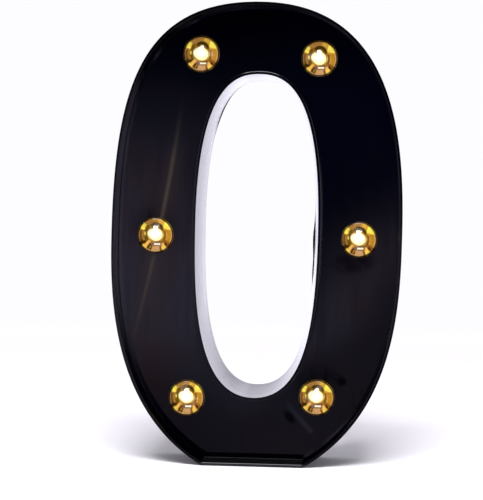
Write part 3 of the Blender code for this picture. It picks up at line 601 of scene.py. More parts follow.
def satin_material(name, level=0.35, colour=(0.012, 0.0115, 0.014), marks=0):
    """Satin black moulding with a fine spark-eroded grain, smoother where hands rub it."""
    mat, nt, p = material(name)
    at = coords(nt)
    grain = noise(nt, at, 3200.0, 3.0, 0.6)
    worn = noise(nt, at, 35.0, 3.0, 0.55)
    base = mix_colour(nt, worn, colour, tuple(c * 1.9 for c in colour))
    if marks:                                               # a bar and a ring, for on and off
        xyz = node(nt, "ShaderNodeSeparateXYZ", {0: at})
        flat = node(nt, "ShaderNodeCombineXYZ", {0: xyz.outputs[0], 2: xyz.outputs[2]}).outputs[0]
        bar = feature(nt, flat, {}, ("box", "", SWITCH_X + marks * 4.2, SWITCH_Z + 6.6, 0.22, 1.3, 0, 0.05))
        ring = feature(nt, flat, {}, ("arc", "", 0.98, 1.42, -180, 180, SWITCH_X - marks * 4.2, SWITCH_Z + 6.6, 0.05, 1))
        print_on = math_node(nt, "MULTIPLY", math_node(nt, "MAXIMUM", bar, ring),
                             map_range(nt, xyz.outputs[1], BACK_Y * MM - 0.0004, BACK_Y * MM - 0.0002, 0.0, 0.9))
        base = mix_colour(nt, print_on, base, (0.55, 0.55, 0.56))
    feed(nt, p, "Base Color", base)
    feed(nt, p, "Roughness", map_range(nt, worn, 0.3, 0.7, level - 0.05, level + 0.08, "LINEAR"))
    feed(nt, p, "Normal", bump(nt, grain, 0.000012, 0.6))
    return mat


def lens_material():
    """Clear amber dome with faint moulding waves."""
    mat, nt, p = material("lens_clear_amber")
    at = coords(nt)
    tint = mix_colour(nt, noise(nt, at, 160.0, 2.0, 0.5), (1.0, 0.985, 0.93), (1.0, 0.975, 0.90))
    feed(nt, p, "Base Color", tint)
    p.inputs["Transmission Weight"].default_value = 1.0
    p.inputs["IOR"].default_value = 1.45
    feed(nt, p, "Roughness", map_range(nt, noise(nt, at, 700.0, 2.0), 0.3, 0.7, 0.0, 0.03, "LINEAR"))
    feed(nt, p, "Normal", bump(nt, noise(nt, at, 300.0, 1.0), 0.000004))
    return mat


def linear(r, g, b):
    """A tone named in display values, as linear light."""
    return tuple(c / 12.92 if c <= 0.04045 else ((c + 0.055) / 1.055) ** 2.4 for c in (r / 255, g / 255, b / 255))


TONE = dict(lemon=(255, 234, 104), light=(246, 194, 100), wedge=(255, 218, 104), tan=(162, 121, 63),
            orange=(216, 171, 73), amber=(188, 136, 40), amber2=(206, 160, 76), brownish=(150, 98, 36),
            brown=(116, 78, 28), dark=(64, 38, 6), olive=(104, 78, 14), darkolive=(60, 44, 12),
            midolive=(150, 112, 44), pink=(204, 160, 114), mauve=(140, 102, 88), pale=(222, 178, 118),
            white=(255, 253, 244), cream=(255, 248, 186), ringgold=(214, 182, 78), straw=(250, 222, 92),
            grey=(124, 90, 66), gold=(196, 152, 54), base=(150, 106, 42))
TONE = {name: linear(*value) for name, value in TONE.items()}

# Painted light on the lit cup, seen through its dome: painted reflections on the petals and creases, painted highlights
# and painted shade, mm from the lamp's axis.
# patch: tone, x, z, half width, half height, turn, softness
# box: tone, x, z, half width, half height, turn, softness
# arc: tone, r0, r1, angle0, angle1, centre x, centre z, radial softness, angular softness
CUP_PAINTED_LIGHT = [
    ("arc", "tan", 6.0, 9.0, 82, 134, 0, 0, 0.4, 6),
    ("arc", "orange", 5.6, 9.0, 48, 80, 0, 0, 0.4, 8),
    ("arc", "gold", 4.0, 9.0, 20, 60, 0, 0, 0.2, 6),
    ("arc", "amber", 4.7, 9.0, -28, 24, 0, 0, 0.3, 3),
    ("box", "amber2", 5.15, -0.6, 0.35, 2.0, 0, 0.35),
    ("arc", "pale", 7.4, 8.3, -30, 24, 0, 0, 0.35, 3),
    ("arc", "brownish", 4.6, 9.0, -50, -28, 0, 0, 0.2, 3),
    ("arc", "light", 4.2, 9.0, -65, -46, 0, 0, 0.2, 5),
    ("arc", "wedge", 6.4, 9.0, -64, -50, 0, 0, 0.5, 3),
    ("patch", "dark", 5.0, -4.4, 0.5, 1.0, 38, 0.5),
    ("arc", "brown", 4.8, 7.9, -73, -65, 0, 0, 0.4, 3),
    ("box", "pink", 0.0, -7.0, 2.0, 2.1, 0, 0.6),
    ("arc", "dark", 4.8, 7.6, -124, -106, 0, 0, 0.35, 3),
    ("patch", "amber", -2.6, -5.8, 0.3, 0.8, -25, 0.5),
    ("arc", "pale", 7.5, 8.3, -126, -98, 0, 0, 0.3, 3),
    ("arc", "dark", 6.2, 7.9, 190, 214, 0, 0, 0.4, 3),
    ("arc", "brown", 6.5, 7.6, 164, 200, 0, 0, 0.4, 3),
    ("arc", "pink", 7.7, 8.5, 162, 204, 0, 0, 0.2, 3),
    ("arc", "tan", 5.7, 6.6, 160, 226, 0, 0, 0.3, 3),
    ("arc", "olive", 3.6, 5.6, 142, 222, 0, 0, 0.3, 3),
    ("patch", "dark", -5.6, -3.6, 1.2, 0.9, 30, 0.4),
    ("box", "light", -4.2, -4.3, 2.0, 0.7, 49, 0.35),
    ("box", "wedge", -5.3, -5.5, 0.9, 1.1, 49, 0.35),
    ("patch", "straw", -5.2, 0.6, 0.3, 0.9, 0, 0.5),
    ("arc", "lemon", 6.0, 9.0, 133, 158, 0, 0, 0.3, 3),
    ("box", "lemon", 5.6, 4.4, 1.9, 1.55, -12, 0.5),
    ("patch", "olive", -3.9, 3.7, 1.1, 1.0, 0, 0.5),
    ("patch", "midolive", 0.2, 3.4, 3.0, 2.4, 0, 0.4),
    ("arc", "darkolive", 1.9, 3.4, -12, 150, 0.1, 2.7, 0.4, 14),
    ("patch", "gold", 0.0, -0.2, 3.9, 3.4, 0, 0.25),
    ("arc", "brown", 3.95, 4.75, -34, 28, 0.1, 0, 0.3, 8),
    ("arc", "ringgold", 1.3, 2.0, -80, 80, 1.9, 0, 0.25, 3),
    ("patch", "tan", 2.7, 0.9, 0.7, 0.8, 0, 0.5),
    ("box", "brown", 1.5, -3.5, 1.9, 0.4, 4, 0.3),
    ("box", "grey", 0.3, -4.5, 2.6, 0.8, 0, 0.4),
    # painted highlights: the diode's bright core, the softbox highlight above it and a highlight bar below
    ("patch", "cream", -0.9, -0.1, 3.15, 2.5, -28, 0.14),
    ("patch", "white", -1.2, 0.4, 2.9, 2.3, -28, 0.2),
    ("patch", "white", -2.1, 1.3, 1.8, 1.2, 40, 0.25),
    ("patch", "white", -0.1, 2.9, 0.95, 1.3, 0, 0.25),
    ("box", "white", 0.7, -4.4, 1.5, 0.42, 0, 0.15),
]


def local(nt, at, x, z, turn, scale=(1.0, 1.0)):
    return node(nt, "ShaderNodeMapping", {"Vector": at, "Location": (x * MM, 0, z * MM),
                                          "Rotation": (0, math.radians(-turn), 0),
                                          "Scale": (scale[0] * MM, 1000.0, scale[1] * MM)},
                vector_type="TEXTURE").outputs[0]


def feature(nt, at, polar, item):
    """The mask of one line of CUP_PAINTED_LIGHT."""
    kind, values = item[0], item[2:]
    if kind == "patch":
        x, z, hx, hz, turn, soft = values
        far = node(nt, "ShaderNodeVectorMath", {0: local(nt, at, x, z, turn, (hx, hz))},
                   operation="LENGTH").outputs["Value"]
        return map_range(nt, far, 1.0 + soft, 1.0 - soft, 0.0, 1.0)
    if kind == "box":
        x, z, hx, hz, turn, soft = values
        parts = node(nt, "ShaderNodeSeparateXYZ", {0: local(nt, at, x, z, turn)})
        a = map_range(nt, math_node(nt, "ABSOLUTE", parts.outputs[0]), hx + soft, hx - soft, 0.0, 1.0)
        b = map_range(nt, math_node(nt, "ABSOLUTE", parts.outputs[2]), hz + soft, hz - soft, 0.0, 1.0)
        return math_node(nt, "MULTIPLY", a, b)
    r0, r1, a0, a1, x, z, soft, turn_soft = values
    if (x, z) not in polar:
        moved = local(nt, at, x, z, 0.0)
        parts = node(nt, "ShaderNodeSeparateXYZ", {0: moved})
        polar[(x, z)] = (node(nt, "ShaderNodeVectorMath", {0: moved}, operation="LENGTH").outputs["Value"],
                         math_node(nt, "ARCTAN2", parts.outputs[2], parts.outputs[0]))
    r, angle = polar[(x, z)]
    off = math_node(nt, "SUBTRACT", angle, math.radians((a0 + a1) / 2))
    off = math_node(nt, "ABSOLUTE", node(nt, "ShaderNodeMath", {0: off, 1: math.pi, 2: -math.pi},
                                         operation="WRAP").outputs[0])
    half, soft_a = math.radians(abs(a1 - a0) / 2), math.radians(turn_soft)
    a = map_range(nt, off, half + soft_a, half - soft_a, 0.0, 1.0)
    out = math_node(nt, "ABSOLUTE", math_node(nt, "SUBTRACT", r, (r0 + r1) / 2))
    b = map_range(nt, out, (r1 - r0) / 2 + soft, (r1 - r0) / 2 - soft, 0.0, 1.0)
    return math_node(nt, "MULTIPLY", a, b)


def gold_material():
    """Metallised gold cup pressed in petals, its colour painted with reflections, highlights and shade, and a painted
    glow for the diode's light on it.
    """
    mat, nt, p = material("reflector_gold_painted_light")
    at = coords(nt)
    xyz = node(nt, "ShaderNodeSeparateXYZ", {0: at})
    flat = node(nt, "ShaderNodeCombineXYZ", {0: xyz.outputs[0], 2: xyz.outputs[2]}).outputs[0]
    r = node(nt, "ShaderNodeVectorMath", {0: flat}, operation="LENGTH").outputs["Value"]
    polar = {}
    colour = TONE["base"]
    for item in CUP_PAINTED_LIGHT:
        colour = mix_colour(nt, feature(nt, flat, polar, item), colour, TONE[item[1]])
    mottle = noise(nt, at, 700.0, 3.0, 0.6)
    shade = map_range(nt, mottle, 0.3, 0.7, 0.84, 1.12, "LINEAR")
    colour = mix_colour(nt, 1.0, colour, node(nt, "ShaderNodeCombineXYZ", {0: shade, 1: shade, 2: shade}).outputs[0],
                        "MULTIPLY")
    # painted light: inside the lip the painted pattern glows, standing in for the diode's light on the cup; the flange
    # beyond is painted dark brown, as shade in the gap round the dome
    lit = map_range(nt, r, 0.0080, 0.0083, 1.0, 0.0)
    colour = mix_colour(nt, lit, (0.10, 0.06, 0.015), colour)
    feed(nt, p, "Base Color", mix_colour(nt, 1.0, colour, (0.28, 0.28, 0.28), "MULTIPLY"))
    feed(nt, p, "Emission Color", mix_colour(nt, lit, (0.0, 0.0, 0.0), colour))
    p.inputs["Emission Strength"].default_value = 0.72
    p.inputs["Metallic"].default_value = 1.0
    feed(nt, p, "Roughness", map_range(nt, mottle, 0.3, 0.7, 0.24, 0.38, "LINEAR"))
    feed(nt, p, "Normal", bump(nt, noise(nt, at, 900.0, 2.0), 0.00001))
    return mat


def diode_material():
    """Lit warm-white diode: white in the middle, yellow towards the skirt."""
    mat, nt, p = material("led_lit_warm")
    at = coords(nt)
    xyz = node(nt, "ShaderNodeSeparateXYZ", {0: at})
    deep = map_range(nt, xyz.outputs[1], -0.0052, -0.0012, 0.0, 1.0, "LINEAR")
    swirl = noise(nt, at, 900.0, 2.0)
    colour = mix_colour(nt, deep, (1.0, 0.97, 0.84), (1.0, 0.88, 0.46))
    colour = mix_colour(nt, math_node(nt, "MULTIPLY", swirl, 0.25), colour, (1.0, 0.93, 0.60))
    lower = map_range(nt, math_node(nt, "MULTIPLY_ADD", xyz.outputs[0], 0.55, math_node(nt, "MULTIPLY", xyz.outputs[2], -0.8)),
                      0.0, 0.0024, 0.0, 1.0)
    colour = mix_colour(nt, lower, colour, (0.96, 0.84, 0.46))
    feed(nt, p, "Base Color", colour)
    feed(nt, p, "Emission Color", colour)
    p.inputs["Emission Strength"].default_value = 1.08
    p.inputs["Roughness"].default_value = 0.12
    return mat


def speckled(name, colour, other, scale, rough, metallic=0.0, grain=0.0, stretch=None):
    mat, nt, p = material(name)
    at = coords(nt)
    vector = stretched(nt, at, stretch) if stretch else at
    f = noise(nt, vector, scale, 3.0, 0.55)
    feed(nt, p, "Base Color", mix_colour(nt, map_range(nt, f, 0.3, 0.7, 0.0, 1.0, "LINEAR"), colour, other))
    feed(nt, p, "Roughness", map_range(nt, f, 0.3, 0.7, rough - 0.06, rough + 0.06, "LINEAR"))
    p.inputs["Metallic"].default_value = metallic
    if grain:
        feed(nt, p, "Normal", bump(nt, f, grain))
    return mat


def banded_resistor():
    """Beige lacquered resistor with four plain colour rings."""
    mat, nt, p = material("resistor_banded")
    at = coords(nt)
    xyz = node(nt, "ShaderNodeSeparateXYZ", {0: at})
    t = map_range(nt, xyz.outputs[2], 0.1361, 0.1499, 0.0, 1.0, "LINEAR")
    beige = (0.50, 0.36, 0.21)
    tone = ramp(nt, t, [(0.0, (0.6, 0.6, 0.6)), (0.27, beige), (0.33, (0.20, 0.06, 0.01)), (0.375, beige),
                        (0.44, (0.01, 0.01, 0.01)), (0.485, beige), (0.55, (0.20, 0.06, 0.01)), (0.595, beige),
                        (0.66, (0.55, 0.38, 0.08)), (0.705, beige), (0.76, (0.6, 0.6, 0.6))], "CONSTANT")
    spots = noise(nt, at, 2500.0, 2.0)
    feed(nt, p, "Base Color", mix_colour(nt, math_node(nt, "MULTIPLY", spots, 0.25), tone, (0.25, 0.18, 0.1)))
    p.inputs["Roughness"].default_value = 0.4
    return mat


def battery_material(low, high):
    """Plain printed sleeve: a dark body and a copper shoulder at the positive end, steel at both ends."""
    mat, nt, p = material(f"battery_sleeve_{'up' if high > low else 'down'}")
    at = coords(nt)
    xyz = node(nt, "ShaderNodeSeparateXYZ", {0: at})
    t = map_range(nt, xyz.outputs[2], low, high, 0.0, 1.0, "LINEAR")     # 0 at the flat end, 1 at the nub
    steel, body, collar = (0.62, 0.62, 0.60), (0.016, 0.035, 0.11), (0.55, 0.25, 0.09)
    tone = ramp(nt, t, [(0.0, steel), (0.022, body), (0.70, (0.55, 0.55, 0.55)), (0.712, collar), (0.965, steel)],
                "CONSTANT")
    metal = ramp(nt, t, [(0.0, 1.0), (0.022, 0.0), (0.70, 1.0), (0.712, 0.75), (0.965, 1.0)], "CONSTANT")
    scuff = noise(nt, stretched(nt, at, (700.0, 700.0, 90.0)), 1.0, 4.0)
    feed(nt, p, "Base Color", mix_colour(nt, map_range(nt, scuff, 0.62, 0.8, 0.0, 0.3), tone, (0.3, 0.3, 0.3)))
    feed(nt, p, "Metallic", metal)
    feed(nt, p, "Roughness", map_range(nt, scuff, 0.3, 0.7, 0.20, 0.34, "LINEAR"))
    return mat


MAT = dict(
    shell=shell_material(),
    cover=satin_material("cover_satin_black", 0.36, marks=ON_SIDE),
    door=satin_material("door_satin_black", 0.33, (0.013, 0.0125, 0.015)),
    lens=lens_material(),
    gold=gold_material(),
    led=diode_material(),
    board=speckled("board_white_mask", (0.74, 0.75, 0.70), (0.62, 0.64, 0.58), 900.0, 0.42),
    ribbon=speckled("ribbon_copper_clear", (0.62, 0.40, 0.22), (0.72, 0.66, 0.56), 600.0, 0.35,
                    stretch=(3.0, 3.0, 0.3)),
    red=speckled("lead_red", (0.50, 0.018, 0.016), (0.36, 0.012, 0.012), 400.0, 0.42),
    black=speckled("lead_black", (0.012, 0.012, 0.013), (0.022, 0.022, 0.024), 400.0, 0.45),
    resistor=banded_resistor(),
    nickel=speckled("contact_nickel", (0.66, 0.64, 0.60), (0.56, 0.54, 0.50), 260.0, 0.26, 1.0, 0.000006,
                    (1.0, 1.0, 12.0)),
    can=speckled("switch_tinned_can", (0.58, 0.58, 0.59), (0.46, 0.46, 0.48), 500.0, 0.34, 1.0),
    knob=satin_material("switch_knob_black", 0.42, (0.016, 0.016, 0.017)),
    screw=speckled("screw_black_oxide", (0.050, 0.050, 0.055), (0.085, 0.080, 0.080), 900.0, 0.36, 1.0, 0.00001),
)


# ------------------------------------------------------------------ shell
def build_shell():
    r, q, root = 0.08, 0.44, 0.07
    f, b = FRONT_Y, BACK_Y
    section = []
    section += arc("o", r, f + r, r, 180, 270, 3)                       # rim: crisp outside, round inside
    section += arc("o", WALL - q, f + q, q, 270, 360, 9)
    section += [("o", WALL, f + 1.6), ("o", WALL, FACE_FRONT_Y - 0.5)]
    section += arc("o", WALL + root, FACE_FRONT_Y - root, root, 180, 90, 2)
    section += [("o", WALL + 0.3, FACE_FRONT_Y), ("c", WALL + 0.3, FACE_FRONT_Y)]
    section += arc("c", WALL + root, FACE_FRONT_Y - root, root, 90, 180, 2)
    section += [("c", WALL, FACE_FRONT_Y - 0.5), ("c", WALL, f + 1.6)]
    section += arc("c", WALL - q, f + q, q, 0, -90, 8)
    section += arc("c", r, f + r, r, 270, 180, 3)
    section += [("c", 0.0, f + 1.2)] + [("c", 0.0, f + 1.2 + k * (DEPTH - 2.45) / 9) for k in range(1, 10)]
    section += [("l", 0.0, b - 1.0), ("l", 0.0, b - 0.25), ("l", 0.25, b)]
    section += [("c", WALL - 0.3, b), ("c", WALL, b - 0.3), ("c", WALL, FACE_BACK_Y + 0.6)]
    section += [("c", WALL + 0.6, FACE_BACK_Y), ("o", WALL + 0.6, FACE_BACK_Y)]
    section += [("o", WALL, FACE_BACK_Y + 0.6), ("o", WALL, b - 0.3), ("o", WALL - 0.3, b)]
    section += arc("o", 0.3, b - 0.3, 0.3, 90, 180, 4)
    section += [("o", 0.0, b - 0.9), ("o", 0.0, f + 1.2)]
    shell = mesh_object("shell_moulding", lambda bm: section_mesh(bm, section), [MAT["shell"]])

    def holes(bm):
        mouth = [(0, FACE_FRONT_Y - 0.8), (HOLE_R + 0.55, FACE_FRONT_Y - 0.8),
                 (HOLE_R + 0.33, FACE_FRONT_Y - 0.02), (HOLE_R + 0.24, FACE_FRONT_Y + 0.04),
                 (HOLE_R + 0.14, FACE_FRONT_Y + 0.16), (HOLE_R + 0.05, FACE_FRONT_Y + 0.40),
                 (HOLE_R, FACE_FRONT_Y + 0.72), (HOLE_R, FACE_BACK_Y + 1.0), (0, FACE_BACK_Y + 1.0)]
        for x, z in LAMPS:
            lathe(bm, mouth, 72, (x, 0, z))

    def bosses(bm):
        for x, z in SCREWS:
            lathe(bm, [(0, FACE_FRONT_Y + 1.0), (BOSS_R, FACE_FRONT_Y + 1.0), (BOSS_R, COVER_Y - 0.5),
                       (BOSS_R - 0.2, COVER_Y - 0.3), (0, COVER_Y - 0.3)], 32, (x, 0, z))

    def bores(bm):
        for x, z in SCREWS:
            lathe(bm, [(0, COVER_Y - 14.0), (BOSS_BORE_R, COVER_Y - 14.0),
                       (BOSS_BORE_R, COVER_Y + 1.0), (0, COVER_Y + 1.0)], 24, (x, 0, z))

    carve(shell, [("DIFFERENCE", holes), ("UNION", bosses), ("DIFFERENCE", bores)], 32)
    weigh(shell)
    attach(shell, "housing")
    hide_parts("front_shell")
    return shell


# ------------------------------------------------------------------ lamps
def build_lamps():
    ball = (LENS_R ** 2 + LENS_RISE ** 2) / (2 * LENS_RISE)
    centre = LENS_FOOT_Y - LENS_RISE + ball
    inner, in_r = ball - LENS_SKIN, LENS_R - LENS_SKIN
    steps, edge, edge_in = 18, math.asin(LENS_R / ball), math.asin(in_r / inner)
    outside = [(ball * math.sin(edge * i / steps), centre - ball * math.cos(edge * i / steps))
               for i in range(steps + 1)]
    inside = [(inner * math.sin(edge_in * i / steps), centre - inner * math.cos(edge_in * i / steps))
              for i in range(steps + 1)]
    foot = round_profile([(LENS_R, LENS_FOOT_Y), (LENS_R, -0.2, 0.12), (FLANGE_R, -0.2), (FLANGE_R, 0.8),
                          (in_r, 0.8, 0.1), (in_r, 0.3)], 0.15)
    lens_profile = outside + foot[1:] + inside[::-1]
    rim = in_r - 0.10
    creases = [math.radians(a) for a in (24, 60, 97, 134, 160, 190, 226, 245, 286, 311, 332)]

    def pressed(r, h, t):
        """Petals pressed into the cup's slope: each one bows between two creases."""
        if 3.5 < r < rim - 0.02 and h < 1.0:
            t %= 2 * math.pi
            k = max((i for i, c in enumerate(creases) if c <= t), default=len(creases) - 1)
            low, high = creases[k], creases[(k + 1) % len(creases)]
            span = (high - low) % (2 * math.pi)
            u = ((t - low) % (2 * math.pi)) / span
            h += 0.26 * span * math.sin(math.pi * u) * math.sin(math.pi * (r - 3.5) / (rim - 3.5))
        return r, h

    cup = [(rim, LENS_FOOT_Y + 0.1), (rim - 0.12, LENS_FOOT_Y + 0.32), (7.05, -2.60), (6.7, -2.15), (6.3, -1.72),
           (5.9, -1.36), (5.4, -0.95), (4.9, -0.60), (4.4, -0.25), (3.9, 0.05), (3.5, 0.30), (3.2, 0.55), (3.2, 1.7),
           (FLANGE_R - 0.1, 1.7), (FLANGE_R, 1.6), (FLANGE_R, 1.2), (FLANGE_R - 0.1, 1.1), (rim + 0.12, 1.1),
           (rim, 0.95)]
    dome = [(LED_R * math.sin(math.pi / 2 * i / 10), -2.9 - LED_R * math.cos(math.pi / 2 * i / 10))
            for i in range(11)]
    bulb = dome + round_profile([(LED_R, -2.9), (LED_R, 0.7, 0.08), (2.85, 0.7), (2.85, 1.7), (0, 1.7)], 0.1)[1:]

    for i, (x, z) in enumerate(LAMPS, 1):
        spot = (x, 0, z)
        lens = mesh_object(f"dome_{i}", lambda bm: lathe(bm, lens_profile, 72), [MAT["lens"]], 40, spot)
        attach(lens, "housing")
        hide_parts(f"lamp_lens_{i}")
        gold = mesh_object(f"gold_cup_{i}", lambda bm: lathe(bm, cup, 120, closed=True, shape=pressed),
                           [MAT["gold"]], 40, spot)
        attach(gold, "housing")
        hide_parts(f"reflector_cup_{i}")
        led = mesh_object(f"diode_{i}", lambda bm: lathe(bm, bulb, 48), [MAT["led"]], 40, spot)
        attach(led, "housing")
        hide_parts(f"led_{i}")


# ------------------------------------------------------------------ CAD nodes that stay, with better finishes
KEEP = {
    "led_board_": "board", "ribbon_wire_": "ribbon", "switch_lead": "red", "resistor_lead": "red",
    "lamp_lead_positive": "red", "lamp_lead_negative": "black", "series_resistor": "resistor",
    "positive_contact": "nickel", "negative_contact": "nickel", "bridge_contact": "nickel",
    "negative_spring": "nickel", "bridge_spring": "nickel", "switch_body": "can", "switch_knob": "knob",
    "cover_screw_": "screw", "back_cover": "cover", "battery_door": "door", "battery_": "cell",
}


def finish_nodes():
    cells = {}
    for name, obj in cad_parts.items():
        kind = next((k for n, k in KEEP.items() if name.startswith(n)), None)
        if kind is None:
            continue
        if kind == "cell":
            low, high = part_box(name)
            up = name == "battery_1"
            mat = cells.setdefault(up, battery_material(*((low.z, high.z) if up else (high.z, low.z))))
        else:
            mat = MAT[kind]
        if not obj.material_slots:
            obj.data.materials.append(mat)
        for s in obj.material_slots:
            s.material = mat
        if name in ("back_cover", "battery_door", "switch_knob"):
            mod = obj.modifiers.new("soft_edges", "BEVEL")
            mod.width, mod.segments, mod.limit_method = 0.16 * MM, 2, "ANGLE"
            mod.angle_limit, mod.use_clamp_overlap, mod.harden_normals = math.radians(50), True, False
            weigh(obj)


# ------------------------------------------------------------------ studio
def build_world():
    """A dark room in front of the figure with a dim floor and a soft glow low on the left, softboxes at both sides,
    and a white sweep behind."""
    world = bpy.data.worlds.new("studio")
    SCENE.world = world
    world.use_nodes = True
    nt = world.node_tree
    nt.nodes.clear()
    out = node(nt, "ShaderNodeOutputWorld")
    way = node(nt, "ShaderNodeTexCoord").outputs["Generated"]
    dx, dy, dz = node(nt, "ShaderNodeSeparateXYZ", {0: way}).outputs
    ahead = math_node(nt, "MAXIMUM", math_node(nt, "MULTIPLY", dy, -1.0), 0.001)
    a = math_node(nt, "DIVIDE", dx, ahead)              # sideways and upwards, in parts of the depth
    e = math_node(nt, "DIVIDE", dz, ahead)
    drift = noise(nt, way, 14.0, 2.0, 0.5)
    e = math_node(nt, "ADD", e, math_node(nt, "MULTIPLY_ADD", drift, 0.05, -0.025))

    def glow(height, top, reach, tail, foot, level, floor):
        """Dim floor below foot, a glow of this level above it that thins out upwards over reach, then dark."""
        low = map_range(nt, height, foot[0], foot[1], floor, level)
        fall = map_range(nt, height, top - reach, top, 1.0, tail, "LINEAR")
        return math_node(nt, "MULTIPLY", math_node(nt, "MULTIPLY", low, fall),
                         map_range(nt, height, top - 0.008, top + 0.010, 1.0, 0.0))

    left = glow(e, 0.026, 0.062, 0.30, (-0.124, -0.058), 0.90, 0.22)
    right = glow(math_node(nt, "MULTIPLY_ADD", a, -0.85, e), -0.015, 0.042, 0.22, (-0.082, -0.057), 0.71, 0.29)
    side = map_range(nt, a, -0.058, -0.040, 0.0, 1.0)
    level = node(nt, "ShaderNodeMix", {0: side, 2: left, 3: right}, data_type="FLOAT").outputs[0]
    far = map_range(nt, a, 0.030, 0.045, 0.0, 1.0)
    edge = math_node(nt, "MULTIPLY", map_range(nt, a, 0.109, 0.131, 0.0, 1.90), map_range(nt, a, 0.137, 0.165, 1.0, 0.05))
    inner = math_node(nt, "MULTIPLY", map_range(nt, a, 0.046, 0.061, 0.0, 1.85), map_range(nt, a, 0.064, 0.104, 1.0, 0.1))
    inner = math_node(nt, "MULTIPLY", inner, map_range(nt, e, -0.067, -0.054, 0.0, 1.0))
    edge = math_node(nt, "MULTIPLY", math_node(nt, "MAXIMUM", edge, inner), map_range(nt, e, -0.004, 0.014, 1.0, 0.0))
    edge = math_node(nt, "MULTIPLY", edge, map_range(nt, e, -0.080, -0.066, 0.05, 1.0))
    level = node(nt, "ShaderNodeMix", {0: far, 2: level, 3: edge}, data_type="FLOAT").outputs[0]
    # between the strokes and beyond the figure the room is dark, but for a pool of light left of the middle
    def spot(u, v, ru, rv, soft):
        """1 inside an upright oval of the window, 0 outside."""
        at = node(nt, "ShaderNodeCombineXYZ", {0: math_node(nt, "MULTIPLY_ADD", a, 1 / ru, -u / ru),
                                               1: math_node(nt, "MULTIPLY_ADD", e, 1 / rv, -v / rv)}).outputs[0]
        far_off = node(nt, "ShaderNodeVectorMath", {0: at}, operation="LENGTH").outputs["Value"]
        return map_range(nt, far_off, 1.0, 1.0 - soft, 0.0, 0.95)

    corner = math_node(nt, "MULTIPLY_ADD", math_node(nt, "MAXIMUM", math_node(nt, "SUBTRACT", -0.08, e), 0.0), 0.5, a)
    gap = math_node(nt, "MAXIMUM", spot(-0.0421, -0.0390, 0.0255, 0.0645, 0.08), map_range(nt, corner, 0.0150, 0.020, 0.0, 0.95))
    gap = math_node(nt, "MULTIPLY", gap, map_range(nt, a, 0.035, 0.045, 1.0, 0.0))
    gap = math_node(nt, "MAXIMUM", gap, map_range(nt, a, -0.0985, -0.107, 0.0, 0.95))
    for u, v in ((-0.0828, -0.040), (-0.0177, -0.1029)):
        gap = math_node(nt, "MAXIMUM", gap, spot(u, v, 0.0078, 0.0078, 0.15))
    edge_in = math_node(nt, "MULTIPLY_ADD", math_node(nt, "MAXIMUM", math_node(nt, "SUBTRACT", -0.045, e), 0.0), 0.5, a)
    pool = math_node(nt, "MULTIPLY", map_range(nt, edge_in, -0.0605, -0.0555, 0.0, 1.0), map_range(nt, a, -0.043, -0.036, 1.0, 0.0))
    pool = math_node(nt, "MULTIPLY", pool, map_range(nt, e, -0.066, -0.056, 0.0, 1.0))
    pool = math_node(nt, "MULTIPLY", pool, map_range(nt, e, -0.034, -0.006, 0.62, 0.0))
    level = math_node(nt, "MAXIMUM", pool, math_node(nt, "MULTIPLY", level, math_node(nt, "SUBTRACT", 1.0, gap)))
    hue = map_range(nt, noise(nt, way, 42.0, 1.0, 0.5), 0.36, 0.64, 0.0, 1.0)
    grey = node(nt, "ShaderNodeCombineXYZ", {
        0: math_node(nt, "MULTIPLY", level, map_range(nt, hue, 0.0, 1.0, 0.93, 1.06)),
        1: math_node(nt, "MULTIPLY", level, map_range(nt, hue, 0.0, 1.0, 0.87, 0.80)),
        2: math_node(nt, "MULTIPLY_ADD", level, map_range(nt, hue, 0.0, 1.0, 1.30, 1.12), 0.01)}).outputs[0]
    navy = map_range(nt, math_node(nt, "ABSOLUTE", math_node(nt, "SUBTRACT", e, -0.01)), 0.02, 0.075, 1.0, 0.0)
    near = mix_colour(nt, math_node(nt, "MULTIPLY", navy, math_node(nt, "SUBTRACT", 1.0, level, clamp=True)), grey,
                      (0.012, 0.024, 0.14))
    # beyond that window: a dim room below and above, softboxes left and right
    wide = map_range(nt, math_node(nt, "ABSOLUTE", a), 0.20, 0.9, 0.0, 1.0)
    tall = map_range(nt, e, 0.10, 0.9, 0.0, 1.0)
    deep = map_range(nt, e, -0.22, -0.9, 0.0, 1.0)
    room = mix_colour(nt, map_range(nt, a, -0.2, 0.2, 0.0, 1.0), (0.55, 0.52, 0.60), (1.15, 1.10, 1.22))
    front = mix_colour(nt, wide, near, room)
    front = mix_colour(nt, tall, front, (0.16, 0.16, 0.18))
    front = mix_colour(nt, deep, front, (0.35, 0.34, 0.38))
    boxes = map_range(nt, math_node(nt, "ABSOLUTE", dx), 0.80, 0.90, 0.0, 1.0)
    boxes = math_node(nt, "MULTIPLY", boxes, map_range(nt, math_node(nt, "ABSOLUTE", math_node(nt, "SUBTRACT", dz, 0.22)),
                                                       0.30, 0.45, 1.0, 0.0))
    behind = map_range(nt, dy, -0.10, 0.30, 0.0, 1.0)
    sweep = math_node(nt, "MULTIPLY", map_range(nt, dz, -0.085, -0.025, 1.27, 1.05), map_range(nt, dz, 0.0, 0.20, 1.0, 0.80))
    sweep = math_node(nt, "MULTIPLY", sweep, map_range(nt, dx, 0.03, 0.20, 1.20, 0.86, "LINEAR"))
    sweep = math_node(nt, "MULTIPLY", sweep, map_range(nt, dx, 0.0, 0.03, 0.835, 1.0))
    sweep = node(nt, "ShaderNodeCombineXYZ", {0: math_node(nt, "MULTIPLY", sweep, 1.235),
                                              1: math_node(nt, "MULTIPLY", sweep, 1.21),
                                              2: math_node(nt, "MULTIPLY", sweep, 1.38)}).outputs[0]
    colour = mix_colour(nt, behind, front, sweep)
    colour = mix_colour(nt, boxes, colour, (1.9, 1.85, 1.95))
    top = map_range(nt, dz, 0.70, 0.95, 0.0, 1.0)
    colour = mix_colour(nt, top, colour, (1.6, 1.58, 1.65))
    path = node(nt, "ShaderNodeLightPath").outputs
